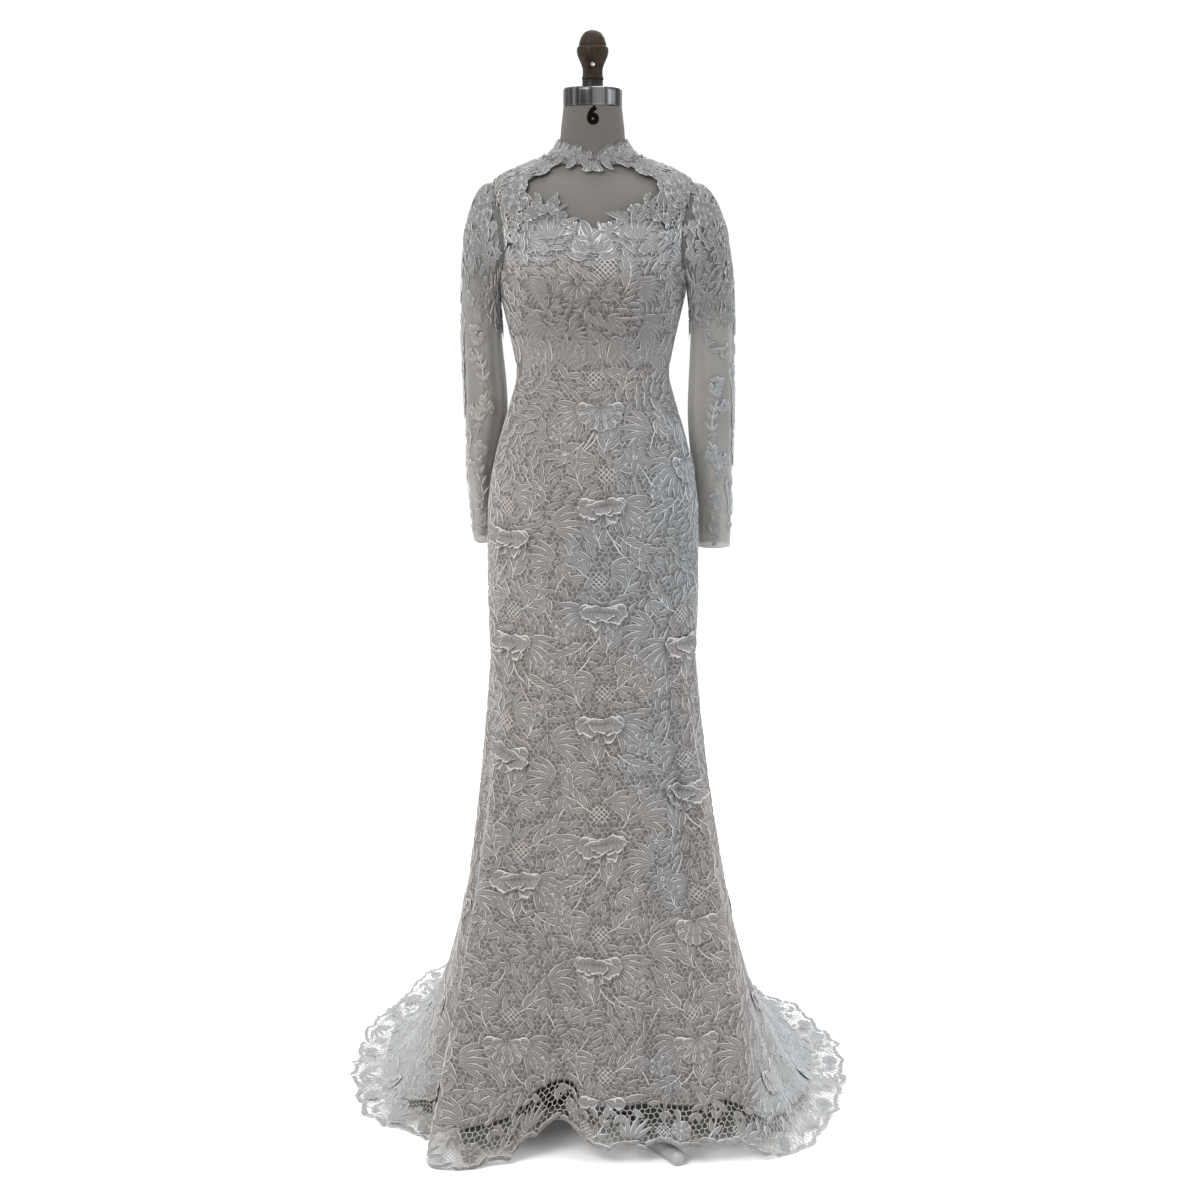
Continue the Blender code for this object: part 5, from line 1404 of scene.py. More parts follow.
def sleevePoint(side, turn, run, out):
    # turn goes round the sleeve: 0 front, 90 outside; run 0 armhole, 1 end of the head, 2 cuff
    turn, run, out = np.broadcast_arrays(*(np.asarray(v, float) for v in (turn, run, out)))
    plan, curves = sleeveRings[side], ringCurves[side]
    rise, forward = np.sin(np.radians(turn)), np.cos(np.radians(turn))
    reach = np.where(forward < 0, dress["armholeBack"], dress["armholeFront"])
    fit = 1 - dress["seamGap"] * 1.6 / dress["armholeHalfHeight"]
    start = bodyPoint(90 - reach * forward * fit, dress["armholeHeight"] + dress["armholeHalfHeight"] * rise * fit)
    middle = bodyPoint(np.full(turn.shape, 90.0), np.full(turn.shape, dress["armholeHeight"]))
    middle[..., 0] = start[..., 0]
    start = start + unit(start - middle) * out[..., None]

    def tube(height):
        wide, deep = curves["halfWidth"](height) + out, curves["halfDepth"](height) + out
        return np.stack([curves["x"](height) + wide * rise, curves["y"](height) - deep * forward, height], -1)

    first, last = plan["height"][0], plan["height"][-1]
    top = (1 + rise) / 2
    end = tube(np.full(turn.shape, first))
    one = start + np.stack([0.003 + (plan["headOut"] - 0.003) * top, 0 * top, 0 * top], -1)
    two = end + np.stack([0 * top, 0 * top, 0.030 + (0.115 - 0.030) * top], -1)
    s = np.clip(run, 0, 1)[..., None]
    head = start * (1 - s) ** 3 + one * 3 * s * (1 - s) ** 2 + two * 3 * s * s * (1 - s) + end * s**3
    low = tube(first + (last - first) * np.clip(run - 1, 0, 1.02))
    return np.where(run[..., None] < 1, head, low) * (sideSign[side], 1, 1)


class SleeveFrame:
    # flat metres on a sleeve: x round it from its outside line, y down from the armhole as a negative length
    def __init__(self, side):
        self.side = side
        self.turns = np.arange(-184, 545, sleeveLook["turnStep"])
        self.runs = np.arange(0, 2.021, sleeveLook["runStep"])
        self.grid = sleevePoint(side, self.turns[:, None], self.runs[None], 0.0)
        normals = np.cross(np.gradient(self.grid, axis=0), np.gradient(self.grid, axis=1))
        middle = self.grid.mean(0, keepdims=True)
        away = self.grid - middle
        self.normals = unit(normals * np.where((normals * away).sum(-1, keepdims=True).mean() < 0, -1, 1))
        self.along = walked(self.grid)

    def look(self, grid, turn, run):
        x = (turn - self.turns[0]) / sleeveLook["turnStep"]
        y = run / sleeveLook["runStep"]
        i = np.clip(x.astype(int), 0, grid.shape[0] - 2)
        j = np.clip(y.astype(int), 0, grid.shape[1] - 2)
        a, b = (np.clip(x - i, 0, 1))[..., None], (np.clip(y - j, 0, 1))[..., None]
        low = grid[i, j] * (1 - a) + grid[i + 1, j] * a
        return low * (1 - b) + (grid[i, j + 1] * (1 - a) + grid[i + 1, j + 1] * a) * b

    def runAt(self, turn, y):
        i = np.clip(((turn - self.turns[0]) / sleeveLook["turnStep"]).astype(int), 0, len(self.turns) - 1)
        flat = [np.interp(-b, self.along[k], self.runs) for k, b in zip(i.ravel(), np.asarray(y, float).ravel())]
        return np.array(flat).reshape(np.shape(y))

    def turnAt(self, x):
        return 90 + np.asarray(x, float) / sleeveLook["across"]

    def place(self, x, y, px, py, out):
        centre = self.turnAt(x)
        run = self.runAt(centre, y)
        here = self.look(self.grid, centre, run)
        wide = np.maximum(np.linalg.norm(self.look(self.grid, centre + 4, run) - here, axis=-1) / 4, 0.0003)[:, None]
        slope = ((self.runAt(centre, y - 0.006) - self.runAt(centre, y + 0.006)) / 0.012)[:, None]
        turn = centre[:, None] + (px - x[:, None]) / wide
        lower = np.clip(run[:, None] - (py - y[:, None]) * slope, 0.0, 2.0)
        return self.look(self.grid, turn, lower) + unit(self.look(self.normals, turn, lower)) * out[..., None]

    def keep(self, x, y):
        turn = self.turnAt(x)
        run = self.runAt(turn, y)
        return (np.asarray(y) < -0.002) & (run < 1.97)


def sleeveOut(turn, run):
    # fine folds that hang from the sleeve head, deeper towards the elbow
    first, second = sleeveLook["folds"]
    turned = np.radians(turn)
    wave = np.cos(turned * first + 2.0 * np.sin(run * 2.1)) + 0.6 * np.cos(turned * second - run * 2)
    return sleeveLook["fold"] * wave * ramp(0.25, 1.0, run) * (0.65 + 0.35 * np.cos(run * 5)) - 0.0006


sleeveFrames = {side: SleeveFrame(side) for side in sleeveRings}
laceOnSleeve = {}
for side, sleeveFrame in sleeveFrames.items():
    cells, faces = gridCells(*shellPlan["sleeve"])
    turn, run = -90 + 360 * cells[:, 0], 2 * (1 - cells[:, 1])
    points = sleevePoint(side, turn, run, sleeveOut(turn, run))
    outward = sleevePoint(side, turn, run, 0.01) - sleevePoint(side, turn, run, -0.01)
    piece = addMesh(f"sleeveNet_{side}", points, faceOut(points, faces, outward), tulle,
                    [f"sleeve_{side}"], np.stack([turn * sleeveLook["across"], -run * sleeveLook["uvLength"]], -1))
    sheetOf[f"sleeve_{side}"] = (piece, surfaceArea(points, faces))

    lace = Lace()
    thickEnd = {"left": -0.235, "right": -0.150}[side]
    for x, y, scale, turn in ((0.000, -0.030, 0.70, 0), (0.035, -0.070, 0.6, 60), (-0.040, -0.065, 0.6, -50),
                              (0.004, -0.105, 0.62, 170), (-0.028, -0.130, 0.55, 30), (0.030, -0.140, 0.5, -80),
                              (0.000, -0.175, 0.5, 10), (-0.010, -0.215, 0.45, 90), (-0.088, -0.040, 0.5, 120)):
        if y > thickEnd + 0.01:
            lace.stamp(plainBouquet, x, y, turn, scale, side == "left")
    for k, (x, y, radius) in enumerate(((-0.034, -0.026, 0.019), (0.022, -0.046, 0.017), (-0.016, -0.088, 0.019),
                                        (0.030, -0.110, 0.015), (-0.022, -0.140, 0.015), (0.074, -0.030, 0.014))):
        lace.flower(x, y, 6, radius, 23 * k, lift=0.002)
        lace.flower(x, y, 5, radius * 0.6, 23 * k + 30, lift=0.0028)

    def inThick(x, y):
        # the thick lace reaches lower outside than inside and ends unevenly
        edge = np.minimum(thickEnd * (1 - 0.42 * (np.abs(x) / 0.075) ** 1.5), -0.034) - 0.016 * np.sin(x * 75 + 1)
        edge = edge - 0.022 * np.clip(np.sin(x * 210 + 2), -0.4, 1)
        return sleeveFrame.keep(x, y) & (y > edge) & (np.abs(x) < 0.078 + 0.034 * np.clip((y + 0.11) / 0.06, 0, 1))

    thick, sprigs = Lace(), Lace()
    thick.rows = [row for row in lace.rows if holds(inThick, *row[1:3])]
    for row, y in enumerate((-0.009, -0.026, -0.043, -0.060)):
        for k in range(34):
            thick.add("leaf", -0.115 + 0.0068 * k + 0.0034 * (row % 2), y, -90 + 70 * math.sin(k * 2.3 + row), 0.023,
                      0.0085, 0.7 * math.cos(k * 1.9))
    fillBetween(thick, -0.115, 0.115, -0.28, 0.0, inThick, "fine", 0.0110, 51)
    for k, y in enumerate(np.arange(thickEnd - 0.045, -0.50, -0.088)):
        for x in (-0.058, -0.014, 0.062):
            shift = y - (0.040 if x == -0.014 else 0)
            sprigs.stamp(sprig, x + 0.005 * math.sin(k * 2.1), shift, 8 * math.sin(k * 1.7), 0.92,
                         bool(k % 2) != (x > -0.02))
            if x < 0:
                sprigs.flower(x + 0.020, shift + 0.046, 5, 0.010, 40 * k)
    laceOnSleeve[f"sleeve_{side}"] = [
        sewLace(f"laceOnSleeve_{side}", thick, sleeveFrame.place, keep=sleeveFrame.keep, base=0.0008),
        sewLace(f"sprigsOnSleeve_{side}", sprigs, sleeveFrame.place, sleeveCord, sleeveFrame.keep,
                0.0006)]
print("upper pieces made")

# openwork edging: a six-sided net with real holes, cords raised along their middle
edgingPlan = {"cell": 0.0095, "cord": 0.0011, "raise": 0.0008, "uneven": 0.14, "scallop": 0.062, "wave": 0.149,
              "edgeLeaf": 0.0138, "topLeaf": 0.023}
edgings = {"hem_lace_front": "skirt_front", "train_lace_left": "skirt_back_left",
           "train_lace_right": "skirt_back_right"}


def makeNet(wide, tall, cell, cord, seed):
    # flat six-sided net from (0, 0) to (wide, tall): points, faces, and 1 for each point on the middle of a cord
    bm = bmesh.new()
    columns, rows = int(round(wide / (cell / 2))), max(2, int(round(tall / (cell * 0.866))))
    bmesh.ops.create_grid(bm, x_segments=columns, y_segments=rows, size=0.5)
    local = np.random.default_rng(seed)
    spare = []
    for edge in bm.edges:
        a, b = edge.verts
        if abs(a.co.x - b.co.x) < 1e-5 and not edge.is_boundary:
            column = int(round((a.co.x + 0.5) * columns))
            row = int(math.floor(((a.co.y + b.co.y) / 2 + 0.5) * rows))
            if (column + row) % 2:
                spare.append(edge)
    bmesh.ops.dissolve_edges(bm, edges=spare, use_verts=False)
    for v in bm.verts:
        column, row = int(round((v.co.x + 0.5) * columns)), int(round((v.co.y + 0.5) * rows))
        inner = 0 < column < columns and 0 < row < rows
        zigzag = (0.17 if (column + row) % 2 else -0.17) if inner else 0.0
        jitter = edgingPlan["uneven"] * cell * local.uniform(-1, 1, 2) if inner else (0.0, 0.0)
        v.co = ((v.co.x + 0.5) * wide + jitter[0], (v.co.y + 0.5) * tall - zigzag * cell + jitter[1], cord)
    cells = bm.faces[:]
    bmesh.ops.inset_individual(bm, faces=cells, thickness=cord / 2, use_even_offset=True)
    bmesh.ops.delete(bm, geom=cells, context="FACES")
    bmesh.ops.triangulate(bm, faces=bm.faces[:])
    points = np.array([v.co[:] for v in bm.verts])
    openEdge = np.ones(len(points), bool)
    bm.verts.index_update()
    for edge in bm.edges:
        if len(edge.link_faces) == 1:
            middle = (edge.verts[0].co + edge.verts[1].co) / 2
            if 1e-4 < middle.x < wide - 1e-4 and 1e-4 < middle.y < tall - 1e-4:
                for v in edge.verts:
                    openEdge[v.index] = False
    faces = np.array([[v.index for v in f.verts] for f in bm.faces])
    bm.free()
    return points[:, :2], faces, openEdge.astype(float)


def hemSpan(panel):
    # where one panel's lower edge starts and ends, as a length round the hem
    return [float(np.interp(float(end(np.array(2.0))), mapAngles, hemWalk)) for end in panels[panel]]


def scallopAt(along):
    return (0.0035 * np.cos(2 * np.pi * along / edgingPlan["scallop"])
            + 0.0022 * np.sin(2 * np.pi * along / edgingPlan["wave"] + 1.0))


def placeOnEdging(panel, x, y, out):
    # x is the length along the lower edge and y the distance in from it
    start = hemSpan(panel)[0]
    angle = np.interp(start + np.asarray(x, float), hemWalk, mapAngles)
    end = byAngle(kneeT, angle) + byAngle(lowerLength, angle)
    share = np.clip(1 - y / dress["hemLace"], 0, 1)
    t = end - y + scallopAt(start + x) * share
    return onCloth(angle, t, out)


edgingLace = {}
for seed, (node, panel) in enumerate(edgings.items()):
    start, end = hemSpan(panel)
    whole, title = end - start, node.title().replace("_", "")
    flat, faces, crest = makeNet(whole, dress["hemLace"], edgingPlan["cell"], edgingPlan["cord"], seed + 60)
    points = placeOnEdging(panel, flat[:, 0], flat[:, 1], crest * edgingPlan["raise"] + 0.0002)
    outward = placeOnEdging(panel, flat[:, 0], flat[:, 1], 0.02) - points
    piece = addMesh(title + "Net", points, faceOut(points, faces, outward), netCord, [node], flat)
    sheetOf[node] = (piece, surfaceArea(points, faces))

    lace, apart = Lace(), edgingPlan["scallop"]
    first = math.ceil(start / apart)
    for k in range(first, first + int(whole / apart) + 1):
        x, swing = apart * k - start, math.sin(k * 2.4)
        if k % 3 == 0:
            lace.wing(x - 0.010, 0.014, 34 + 12 * swing, 84, 5, 0.036, 0.0082, -0.6)
        elif k % 3 == 1:
            lace.flower(x, 0.027, 6, 0.0155, 40 * swing)
            lace.flower(x, 0.027, 5, 0.0090, 60 * swing)
        else:
            lace.plume(x - 0.020, 0.010, 44 + 12 * swing, 0.046, 2, 0.024, 0.0082, 0.7)
        lace.spray(x + 0.030 + 0.003 * swing, 0.052, -84 + 34 * swing, 2, 80, 0.025, 0.0094, -0.4)
        if k % 2:
            lace.lattice(x + 0.034, 0.021, 0.014, 0.010, 0.0046)
    for k in range(int(whole / edgingPlan["edgeLeaf"])):
        lace.add("leaf", edgingPlan["edgeLeaf"] * k + 0.002 * math.sin(k * 1.7), 0.0044 + 0.0014 * math.sin(k * 2.1),
                 13 * math.sin(k * 1.3), 0.0190, 0.0086, 0.45 if k % 2 else -0.45)
    for k in range(int(whole / edgingPlan["topLeaf"])):
        lace.add("leaf", edgingPlan["topLeaf"] * k, dress["hemLace"] - 0.004 + 0.004 * math.sin(k * 1.3),
                 70 * math.sin(k * 2.2), 0.024, 0.0085, 0.6 * math.cos(k))
    edgingLace[node] = [sewLace("leavesOn" + title, lace, lambda x, y, *spot: placeOnEdging(panel, *spot),
                                keep=lambda x, y: (x > 0.001) & (x < whole - 0.001), base=0.0010)]

# net with real holes under the flowers of the yokes
for side, sign in sideSign.items():
    flat, faces, crest = makeNet(0.20, 0.24, 0.0075, 0.0012, 70 + sign)
    panelFrame = upperFrames["front"]
    x, y = sign * (flat[:, 0] + 0.01), flat[:, 1] + 0.16
    keep = keepUpper(panelFrame, ["yoke"], sign)(x, y)
    faces = faces[keep[faces].all(1)]
    used = np.unique(faces)
    renumber = np.full(len(flat), -1)
    renumber[used] = np.arange(len(used))
    x, y, crest, faces = x[used], y[used], crest[used], renumber[faces]
    angle = panelFrame.angleAt(x, y)
    points = onCloth(angle, -y, crest * 0.0009 + 0.0003)
    outward = onCloth(angle, -y, 0.02) - points
    laceOnUpper[f"yoke_front_{side}"].append(
        addMesh(f"yokeNet_{side}", points, faceOut(points, faces, outward), netCord, uv=flat[used]))
print("edgings made")

# dress form: a smooth linen torso and neck, closed at both ends
formPlan = {"inset": 0.0062, "neckInset": 0.0030, "bottom": 0.800, "neckTop": 1.608, "columns": 120, "rows": 130}
numeralPlan = {"height": 0.0285, "at": 1.5942, "angle": 0.6, "out": 0.0005, "neckRadius": 0.0475, "cuts": 10}


def formPoint(angle, height, out=0.0):
    inset = formPlan["inset"] + (formPlan["neckInset"] - formPlan["inset"]) * ramp(1.52, 1.56, height)
    return bodyPoint(angle, height) - bodyNormal(angle, height) * (inset - out)[..., None]


def finishPiece(name, bm, material, covered=(), sharp=None, smooth=True):
    mesh = bpy.data.meshes.new(name)
    bm.to_mesh(mesh)
    bm.free()
    if smooth:
        mesh.shade_smooth()
    if sharp:
        mesh.set_sharp_from_angle(angle=math.radians(sharp))
    mesh.materials.append(material)
    return showPiece(name, mesh, covered)


def spun(profile, steps):
    # spins a profile of (radius, height) round the upright axis
    bm = bmesh.new()
    line = [bm.verts.new((radius, 0, height)) for radius, height in profile]
    edges = [bm.edges.new(pair) for pair in zip(line, line[1:])]
    bmesh.ops.spin(bm, geom=line + edges, cent=(0, 0, 0), axis=(0, 0, 1), angle=fullTurn, steps=steps,
                   use_duplicate=False)
    bmesh.ops.remove_doubles(bm, verts=bm.verts, dist=1e-5)
    bmesh.ops.recalc_face_normals(bm, faces=bm.faces[:])
    return bm


def turnedPiece(name, node, profile, material, steps=72):
    return finishPiece(name, spun(profile, steps), material, [node], 40)


def aimed(at, away):
    return Matrix.Translation(at) @ Vector(away).to_track_quat("Z", "Y").to_matrix().to_4x4()


def linenMaterial():
    made, tree, shader = newMaterial("unbleached linen", 0.9, sheen=0.1)
    uv = coordinates(tree, "UV")
    weave = placeGroup(tree, weaveGroup, uv, Threads=900.0, Slub=0.5)
    base = clothColours["linen"]
    tone = smoothMask(tree, noiseOf(tree, uv, 7, 3), 0.3, 0.75)
    plain = mixColour(tree, tone, shaded(base, 0.93), shaded(base, 1.06))
    neck = smoothMask(tree, axesOf(tree, coordinates(tree, "Object"))[2], 1.50, 1.56)
    plain = mixColour(tree, neck, plain, shaded(base, 0.69, 0.65, 0.63))
    slub = smoothMask(tree, weave["Slubs"], 0.06, 0.14)
    fill(tree, [shader["Base Color"]], [mixColour(tree, slub, plain, shaded(base, 1.22))])
    addBump(tree, shader, weave["Height"], 0.35, 0.0004)
    return made


def metalMaterial(name, colour, roughness):
    # turned and brushed metal: fine rings, and broad darker and brighter bands that run up it, which are painted
    # reflections
    made, tree, shader = newMaterial(name, roughness, 1.0)
    place = coordinates(tree, "Object")
    grain, band = (noiseOf(tree, vectorNode(tree, "MULTIPLY", place, scale).outputs[0], 1.0, 2)
                   for scale in ((4.0, 4.0, 900.0), (58.0, 58.0, 0.5)))
    tone = plus(tree, times(tree, smoothMask(tree, band, 0.44, 0.66), 0.9), times(tree, grain, 0.1))
    rough = plus(tree, times(tree, grain, 0.12), roughness - 0.06)
    # the darker and brighter bands are painted reflections
    paintedReflections = mixColour(tree, tone, shaded(colour, 0.12), colour)
    fill(tree, (shader["Base Color"], shader["Roughness"]), (paintedReflections, rough))
    return made


def woodMaterial():
    coat = {"Specular IOR Level": 0.06, "Coat Weight": 0.02, "Coat Roughness": 0.3}
    made, tree, shader = newMaterial("dark stained turned wood", 0.5, **coat)
    place = vectorNode(tree, "MULTIPLY", coordinates(tree, "Object"), (60.0, 60.0, 9.0)).outputs[0]
    grain, rub = noiseOf(tree, place, 1.0, 5, 0.65), noiseOf(tree, place, 0.25, 2)
    dark = mixColour(tree, smoothMask(tree, grain, 0.32, 0.70), (0.007, 0.005, 0.003), (0.027, 0.019, 0.012))
    worn = mixColour(tree, smoothMask(tree, rub, 0.55, 0.8), dark, (0.038, 0.028, 0.019))
    fill(tree, [shader["Base Color"]], [worn])
    addBump(tree, shader, grain, 0.15, 0.0006)
    return made


def paintMaterial(name, colour, roughness, **more):
    made, tree, shader = newMaterial(name, roughness, **more)
    speck = noiseOf(tree, coordinates(tree, "Object"), 90, 3)
    fill(tree, [shader["Base Color"]], [mixColour(tree, speck, shaded(colour, 0.9), shaded(colour, 1.08))])
    addBump(tree, shader, speck, 0.08, 0.0005)
    return made


linen, steel, wood = linenMaterial(), metalMaterial("brushed steel", (0.50, 0.495, 0.49), 0.28), woodMaterial()
capSteel = metalMaterial("dark brushed steel", (0.190, 0.192, 0.196), 0.24)
blackPaint = paintMaterial("black paint", (0.018, 0.018, 0.019), 0.35, **{"Specular IOR Level": 0.06})
greyPaint = paintMaterial("grey paint", (0.24, 0.24, 0.245), 0.45)
numeralInk = paintMaterial("black numeral print", (0.003, 0.003, 0.003), 0.8, **{"Specular IOR Level": 0.0})
satin = netMaterial("button satin", (0.46, 0.44, 0.42))


def makeForm():
    cells, faces = gridCells(formPlan["columns"], formPlan["rows"])
    bottom, top = formPlan["bottom"], formPlan["neckTop"]
    angle, height = -180 + 360 * cells[:, 0], bottom + (top - bottom) * cells[:, 1]
    points = formPoint(angle, height)
    points[cells[:, 1] < 1e-4, 2], points[cells[:, 1] > 1 - 1e-4, 2] = bottom, top
    uv = np.stack([np.radians(angle) * np.linalg.norm(points[:, :2], axis=1), height], -1)
    piece = addMesh("linenTorso", points, faceOut(points, faces, points * (1, 1, 0)), linen,
                    ["form_torso"], uv=uv)
    bm = bmesh.new()
    bm.from_mesh(piece.data)
    bmesh.ops.remove_doubles(bm, verts=bm.verts, dist=1e-5)
    for level in (bottom, top):
        rim = [e for e in bm.edges if e.is_boundary and abs(e.verts[0].co.z - level) < 1e-4]
        bmesh.ops.contextual_create(bm, geom=rim)
    bmesh.ops.recalc_face_normals(bm, faces=bm.faces[:])
    bm.to_mesh(piece.data)
    bm.free()
    piece.data.set_sharp_from_angle(angle=math.radians(50))


def makeNumeral():
    # a plain size numeral printed on the front of the neck
    curve = bpy.data.curves.new("numeralLine", "FONT")
    curve.body, curve.size, curve.offset, curve.resolution_u = "6", 0.040, 0.0022, 6
    text = bpy.data.objects.new("numeralLine", curve)
    bpy.context.scene.collection.objects.link(text)
    flat = bpy.data.meshes.new_from_object(text.evaluated_get(bpy.context.evaluated_depsgraph_get()))
    bpy.data.objects.remove(text)
    bpy.data.curves.remove(curve)
    bm = bmesh.new()
    bm.from_mesh(flat)
    bpy.data.meshes.remove(flat)
    bmesh.ops.remove_doubles(bm, verts=bm.verts, dist=1e-6)
    points = np.array([v.co[:] for v in bm.verts])
    low, high = points.min(0), points.max(0)
    for k in range(1, numeralPlan["cuts"]):
        across = low[0] + (high[0] - low[0]) * k / numeralPlan["cuts"]
        bmesh.ops.bisect_plane(bm, geom=bm.verts[:] + bm.edges[:] + bm.faces[:], plane_co=(across, 0, 0),
                               plane_no=(1, 0, 0))
    size = numeralPlan["height"] / (high[1] - low[1])
    points = np.array([v.co[:] for v in bm.verts])
    flatX, flatZ = ((points[:, axis] - (low[axis] + high[axis]) / 2) * size for axis in (0, 1))
    angle = numeralPlan["angle"] + np.degrees(flatX / numeralPlan["neckRadius"])
    placed = formPoint(angle, numeralPlan["at"] + flatZ, np.full(len(points), numeralPlan["out"]))
    for v, point in zip(bm.verts, placed):
        v.co = point
    bmesh.ops.recalc_face_normals(bm, faces=bm.faces[:])
    if sum(f.normal.y for f in bm.faces) > 0:
        bmesh.ops.reverse_faces(bm, faces=bm.faces[:])
    finishPiece("sizeNumeral", bm, numeralInk, smooth=False)


makeForm()
makeNumeral()
capProfile = [(0, 1.6362), (0.0400, 1.6362), (0.0416, 1.6360), (0.0430, 1.6353), (0.0439, 1.6342), (0.0443, 1.6325),
              (0.0445, 1.6300), (0.0445, 1.6105), (0.0443, 1.6094), (0.0437, 1.6088), (0.0425, 1.6088), (0, 1.6088)]
ferruleProfile = [(0, 1.6480), (0.0140, 1.6480), (0.0152, 1.6478), (0.0158, 1.6470), (0.0158, 1.6450), (0.0154, 1.6440),
                  (0.0158, 1.6430), (0.0158, 1.6395), (0.0162, 1.6378), (0.0166, 1.6370), (0.0164, 1.6366), (0, 1.6365)]
finialNeck = smoothCurve([1.6483, 1.6490, 1.6550, 1.6620, 1.6700, 1.6830, 1.6900, 1.6952, 1.6976],
                         [0.0160, 0.0166, 0.0150, 0.0150, 0.0172, 0.0226, 0.0238, 0.0228, 0.0200])
finialTop = smoothCurve([1.6976, 1.6990, 1.7030, 1.7118, 1.7182, 1.7200],
                        [0.0200, 0.0206, 0.0198, 0.0160, 0.0095, 0.0045])
finialProfile = [(0, 1.6483)] + [(float(finialNeck(h)), h) for h in np.linspace(1.6483, 1.6974, 34)]
finialProfile += [(float(finialTop(h)), h) for h in np.linspace(1.6978, 1.7200, 22)] + [(0, 1.7203)]
turnedPiece("neckCap", "neck_cap", capProfile, capSteel, 96)
turnedPiece("finialFerrule", "finial_ferrule", ferruleProfile, blackPaint)
turnedPiece("turnedFinial", "finial", finialProfile, wood, 64)


def domePiece(name, node, at, away, radius, tall, material):
    bm = bmesh.new()
    bmesh.ops.create_uvsphere(bm, u_segments=20, v_segments=10, radius=1.0)
    bmesh.ops.delete(bm, geom=[v for v in bm.verts if v.co.z < -0.05], context="VERTS")
    rim = bmesh.ops.extrude_edge_only(bm, edges=[e for e in bm.edges if e.is_boundary])["geom"]
    bmesh.ops.translate(bm, verts=[v for v in rim if isinstance(v, bmesh.types.BMVert)], vec=(0, 0, -0.25))
    bmesh.ops.scale(bm, verts=bm.verts, vec=(radius, radius, tall))
    bmesh.ops.transform(bm, verts=bm.verts, matrix=aimed(at, away))
    finishPiece(name, bm, material, [node])


buttonPlan = {"radius": 0.0054, "tall": 0.0026, "sink": 0.0009}
for node in sorted(n for n in nodes if n.startswith("button_")):
    low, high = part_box(node)
    middle = (low + high) / 2
    away = bodyNormal(np.array([180.0]), np.array([middle.z]))[0]
    domePiece(node.replace("button", "satinButton"), node, middle - Vector(away) * buttonPlan["sink"], away,
              buttonPlan["radius"], buttonPlan["tall"], satin)
screwPlan = {"radius": 0.0035, "tall": 0.0010, "dip": math.radians(23)}
low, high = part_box("finial_screw")
away = (0, -math.cos(screwPlan["dip"]), -math.sin(screwPlan["dip"]))
domePiece("finialScrew", "finial_screw", (low + high) / 2, away, screwPlan["radius"], screwPlan["tall"], steel)

# stand
standPlan = {"pole": 0.0125, "hub": 0.036, "hubTop": 0.030, "leg": 0.012, "reach": 0.252, "firstLeg": 33, "legs": 4,
             "gap": 0.0003, "glide": 0.010}
poleStart, poleEnd = standPlan["hubTop"] + standPlan["gap"], formPlan["bottom"] - standPlan["gap"]
poleProfile = [(0, poleStart), (standPlan["pole"], poleStart), (standPlan["pole"], poleEnd), (0, poleEnd)]
turnedPiece("steelPole", "pole", poleProfile, steel, 32)
turnedPiece("standHub", "stand_hub", [(0, 0), (0.034, 0), (0.0355, 0.0006), (0.036, 0.002), (0.036, 0.0275),
                                      (0.0355, 0.0291), (0.034, 0.030), (0.014, 0.030), (0, 0.030)],
            greyPaint, 48)
for number in range(standPlan["legs"]):  # round legs along the floor, each with a rounded glide at its end
    way = math.radians(standPlan["firstLeg"] + 90 * number)
    start, end, radius, glide = (standPlan[key] for key in ("hub", "reach", "leg", "glide"))
    start += standPlan["gap"]
    profile = [(0, start), (radius * 0.97, start), (radius, start + 0.0006), (radius, end - 0.046),
               (radius, end - 0.045), (radius * 0.93, end - 0.0445), (radius * 0.93, end - 0.043),
               (radius, end - 0.0425), (radius, end - glide)]
    profile += [(radius * math.cos(a), end - glide + glide * math.sin(a)) for a in np.linspace(0.2, math.pi / 2, 8)]
    bm = spun(profile, 32)
    bmesh.ops.transform(bm, verts=bm.verts, matrix=aimed((0, 0, radius), (math.sin(way), -math.cos(way), 0)))
    finishPiece(f"standLeg_{number + 1}", bm, greyPaint, [f"stand_leg_{number + 1}"], 40)
print("form and stand made")

# floor, light and camera
floorPlan = {"size": 30.0, "colour": (0.97, 0.97, 0.97)}
light = {
    "world": (1.0, 1.0, 1.0), "worldStrength": 1.06,
    "key": {"at": (-1.6, -2.4, 3.2), "size": 1.6, "power": 120, "colour": (1.0, 0.985, 0.96), "aim": (0, 0, 1.0)},
    "top": {"at": (0.3, 0.5, 4.2), "size": 3.0, "power": 120, "colour": (0.90, 0.95, 1.0), "aim": (0, 0.1, 0.0)},
    "back": {"at": (1.2, 3.6, 3.4), "size": 2.4, "power": 90, "colour": (0.96, 0.98, 1.0), "aim": (0, 0.2, 0.6)},
    "side": {"at": (3.2, -0.6, 1.8), "size": 1.4, "power": 40, "colour": (0.92, 0.96, 1.0), "aim": (0, 0, 0.9)},
}
cameraPlan = {"at": (0.011, -3.0, 1.40), "pitch": 10.32, "lens": 58.05, "sensor": 36.0}


def makeFloor():
    bm = bmesh.new()
    bmesh.ops.create_grid(bm, x_segments=1, y_segments=1, size=floorPlan["size"])
    mesh = bpy.data.meshes.new("floor")
    bm.to_mesh(mesh)
    bm.free()
    made, tree, shader = newMaterial("pale floor", 0.75)
    tone = smoothMask(tree, noiseOf(tree, coordinates(tree, "Object"), 1.2, 2), 0.2, 0.8)
    colour = floorPlan["colour"]
    fill(tree, [shader["Base Color"]], [mixColour(tree, tone, shaded(colour, 0.99), colour)])
    mesh.materials.append(made)
    return addToScene("floor", mesh)


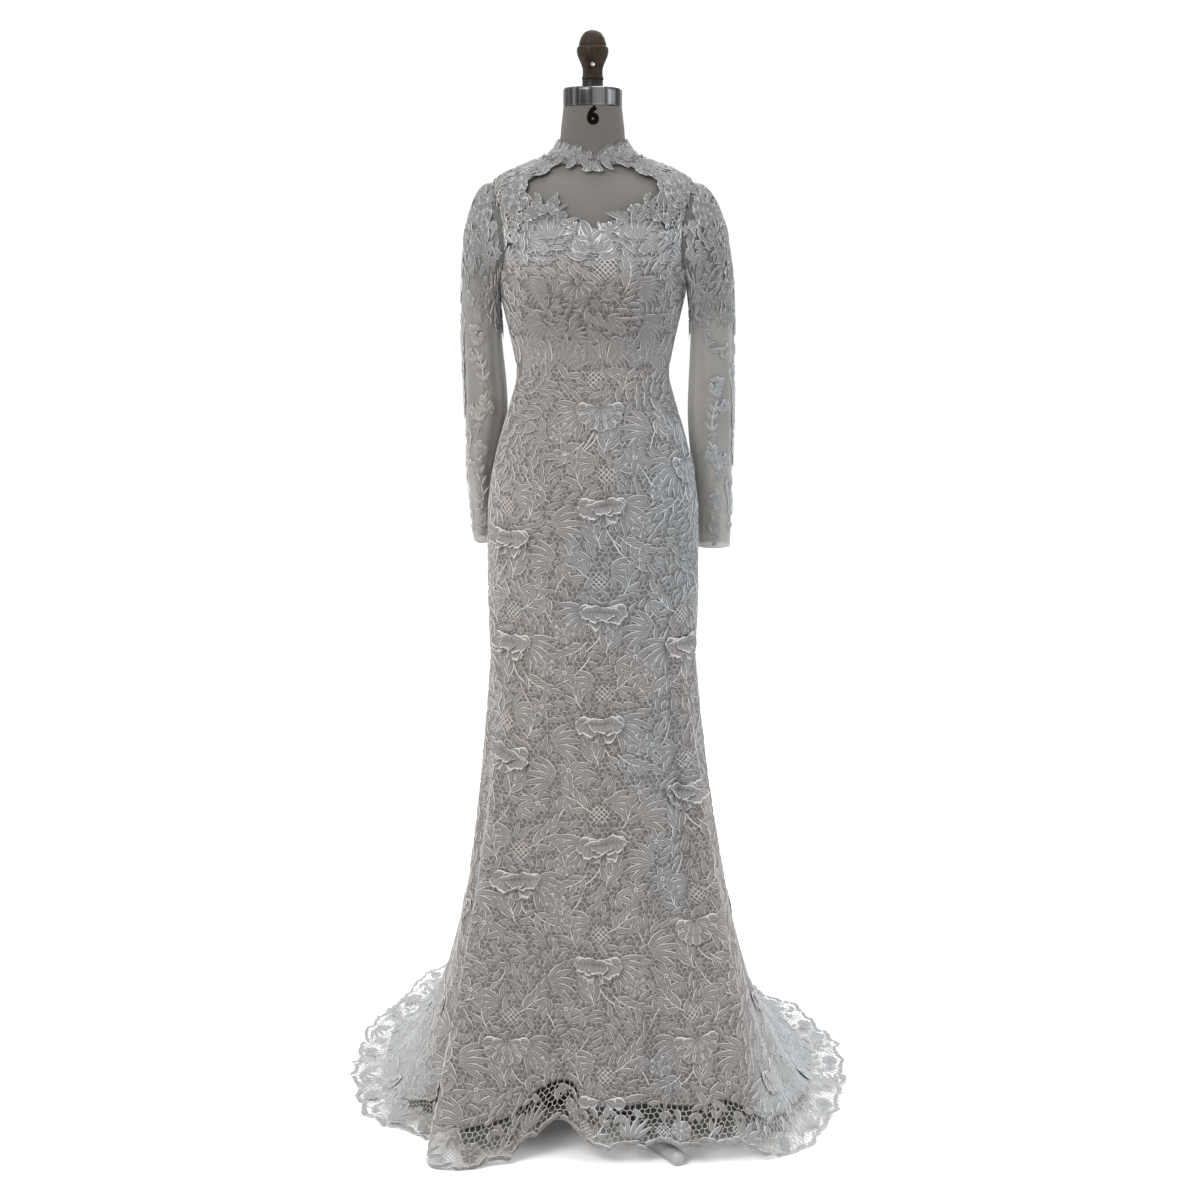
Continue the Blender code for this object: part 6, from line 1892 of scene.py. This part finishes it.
for name in ("key", "top", "back", "side"):
    plan, lamp = light[name], bpy.data.lights.new(name, "AREA")
    lamp.size, lamp.energy, lamp.color = plan["size"], plan["power"], plan["colour"]
    lit = addToScene(name, lamp)
    lit.location = plan["at"]
    lit.rotation_euler = (Vector(plan["at"]) - Vector(plan["aim"])).to_track_quat("Z", "Y").to_euler()

world = bpy.data.worlds.new("studio")
bpy.context.scene.world = world
world.use_nodes = True
world.node_tree.nodes["Background"].inputs["Color"].default_value = (*light["world"], 1)
world.node_tree.nodes["Background"].inputs["Strength"].default_value = light["worldStrength"]

camera = addToScene("camera", bpy.data.cameras.new("camera"))
camera.data.lens, camera.data.sensor_width = cameraPlan["lens"], cameraPlan["sensor"]
camera.location = cameraPlan["at"]
camera.rotation_euler = (math.radians(90 - cameraPlan["pitch"]), 0, 0)
bpy.context.scene.camera = camera
bpy.context.scene.view_settings.view_transform = "Standard"
makeFloor()
print("floor, light and camera placed")

laceOn = {**laceOnSkirt, **laceOnUpper, **laceOnSleeve, **edgingLace}
laceOn["skirt_front"] = laceOn["skirt_front"] + [ruffledPetals]
sheets = {  # box of the flattened piece, the area of its surface, and how it is held
    "skirt_front": (0.611, 1.179, 0.5324, "hung"), "skirt_back_left": (0.824, 1.514, 0.5601, "hung"),
    "skirt_back_right": (0.802, 1.486, 0.5480, "hung"), "bodice_front": (0.398, 0.258, 0.0767, "stretched"),
    "bodice_back_left": (0.190, 0.367, 0.0549, "stretched"), "bodice_back_right": (0.192, 0.366, 0.0549, "stretched"),
    "yoke_front_left": (0.114, 0.152, 0.0087, "stretched"), "yoke_front_right": (0.111, 0.156, 0.0087, "stretched"),
    "collar": (0.236, 0.146, 0.0104, "stretched"), "sleeve_left": (0.278, 0.566, 0.1289, "hung"),
    "sleeve_right": (0.269, 0.566, 0.1229, "hung"), "hem_lace_front": (0.673, 0.066, 0.0172, "hung"),
    "train_lace_left": (1.249, 0.066, 0.0303, "hung"), "train_lace_right": (1.223, 0.066, 0.0296, "hung"),
}
for node, (width, length, cut, held) in sheets.items():
    piece, area = sheetOf[node]
    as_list(laceOn[node])
    print("sheet", node, "surface", round(area, 4), "cut", cut)
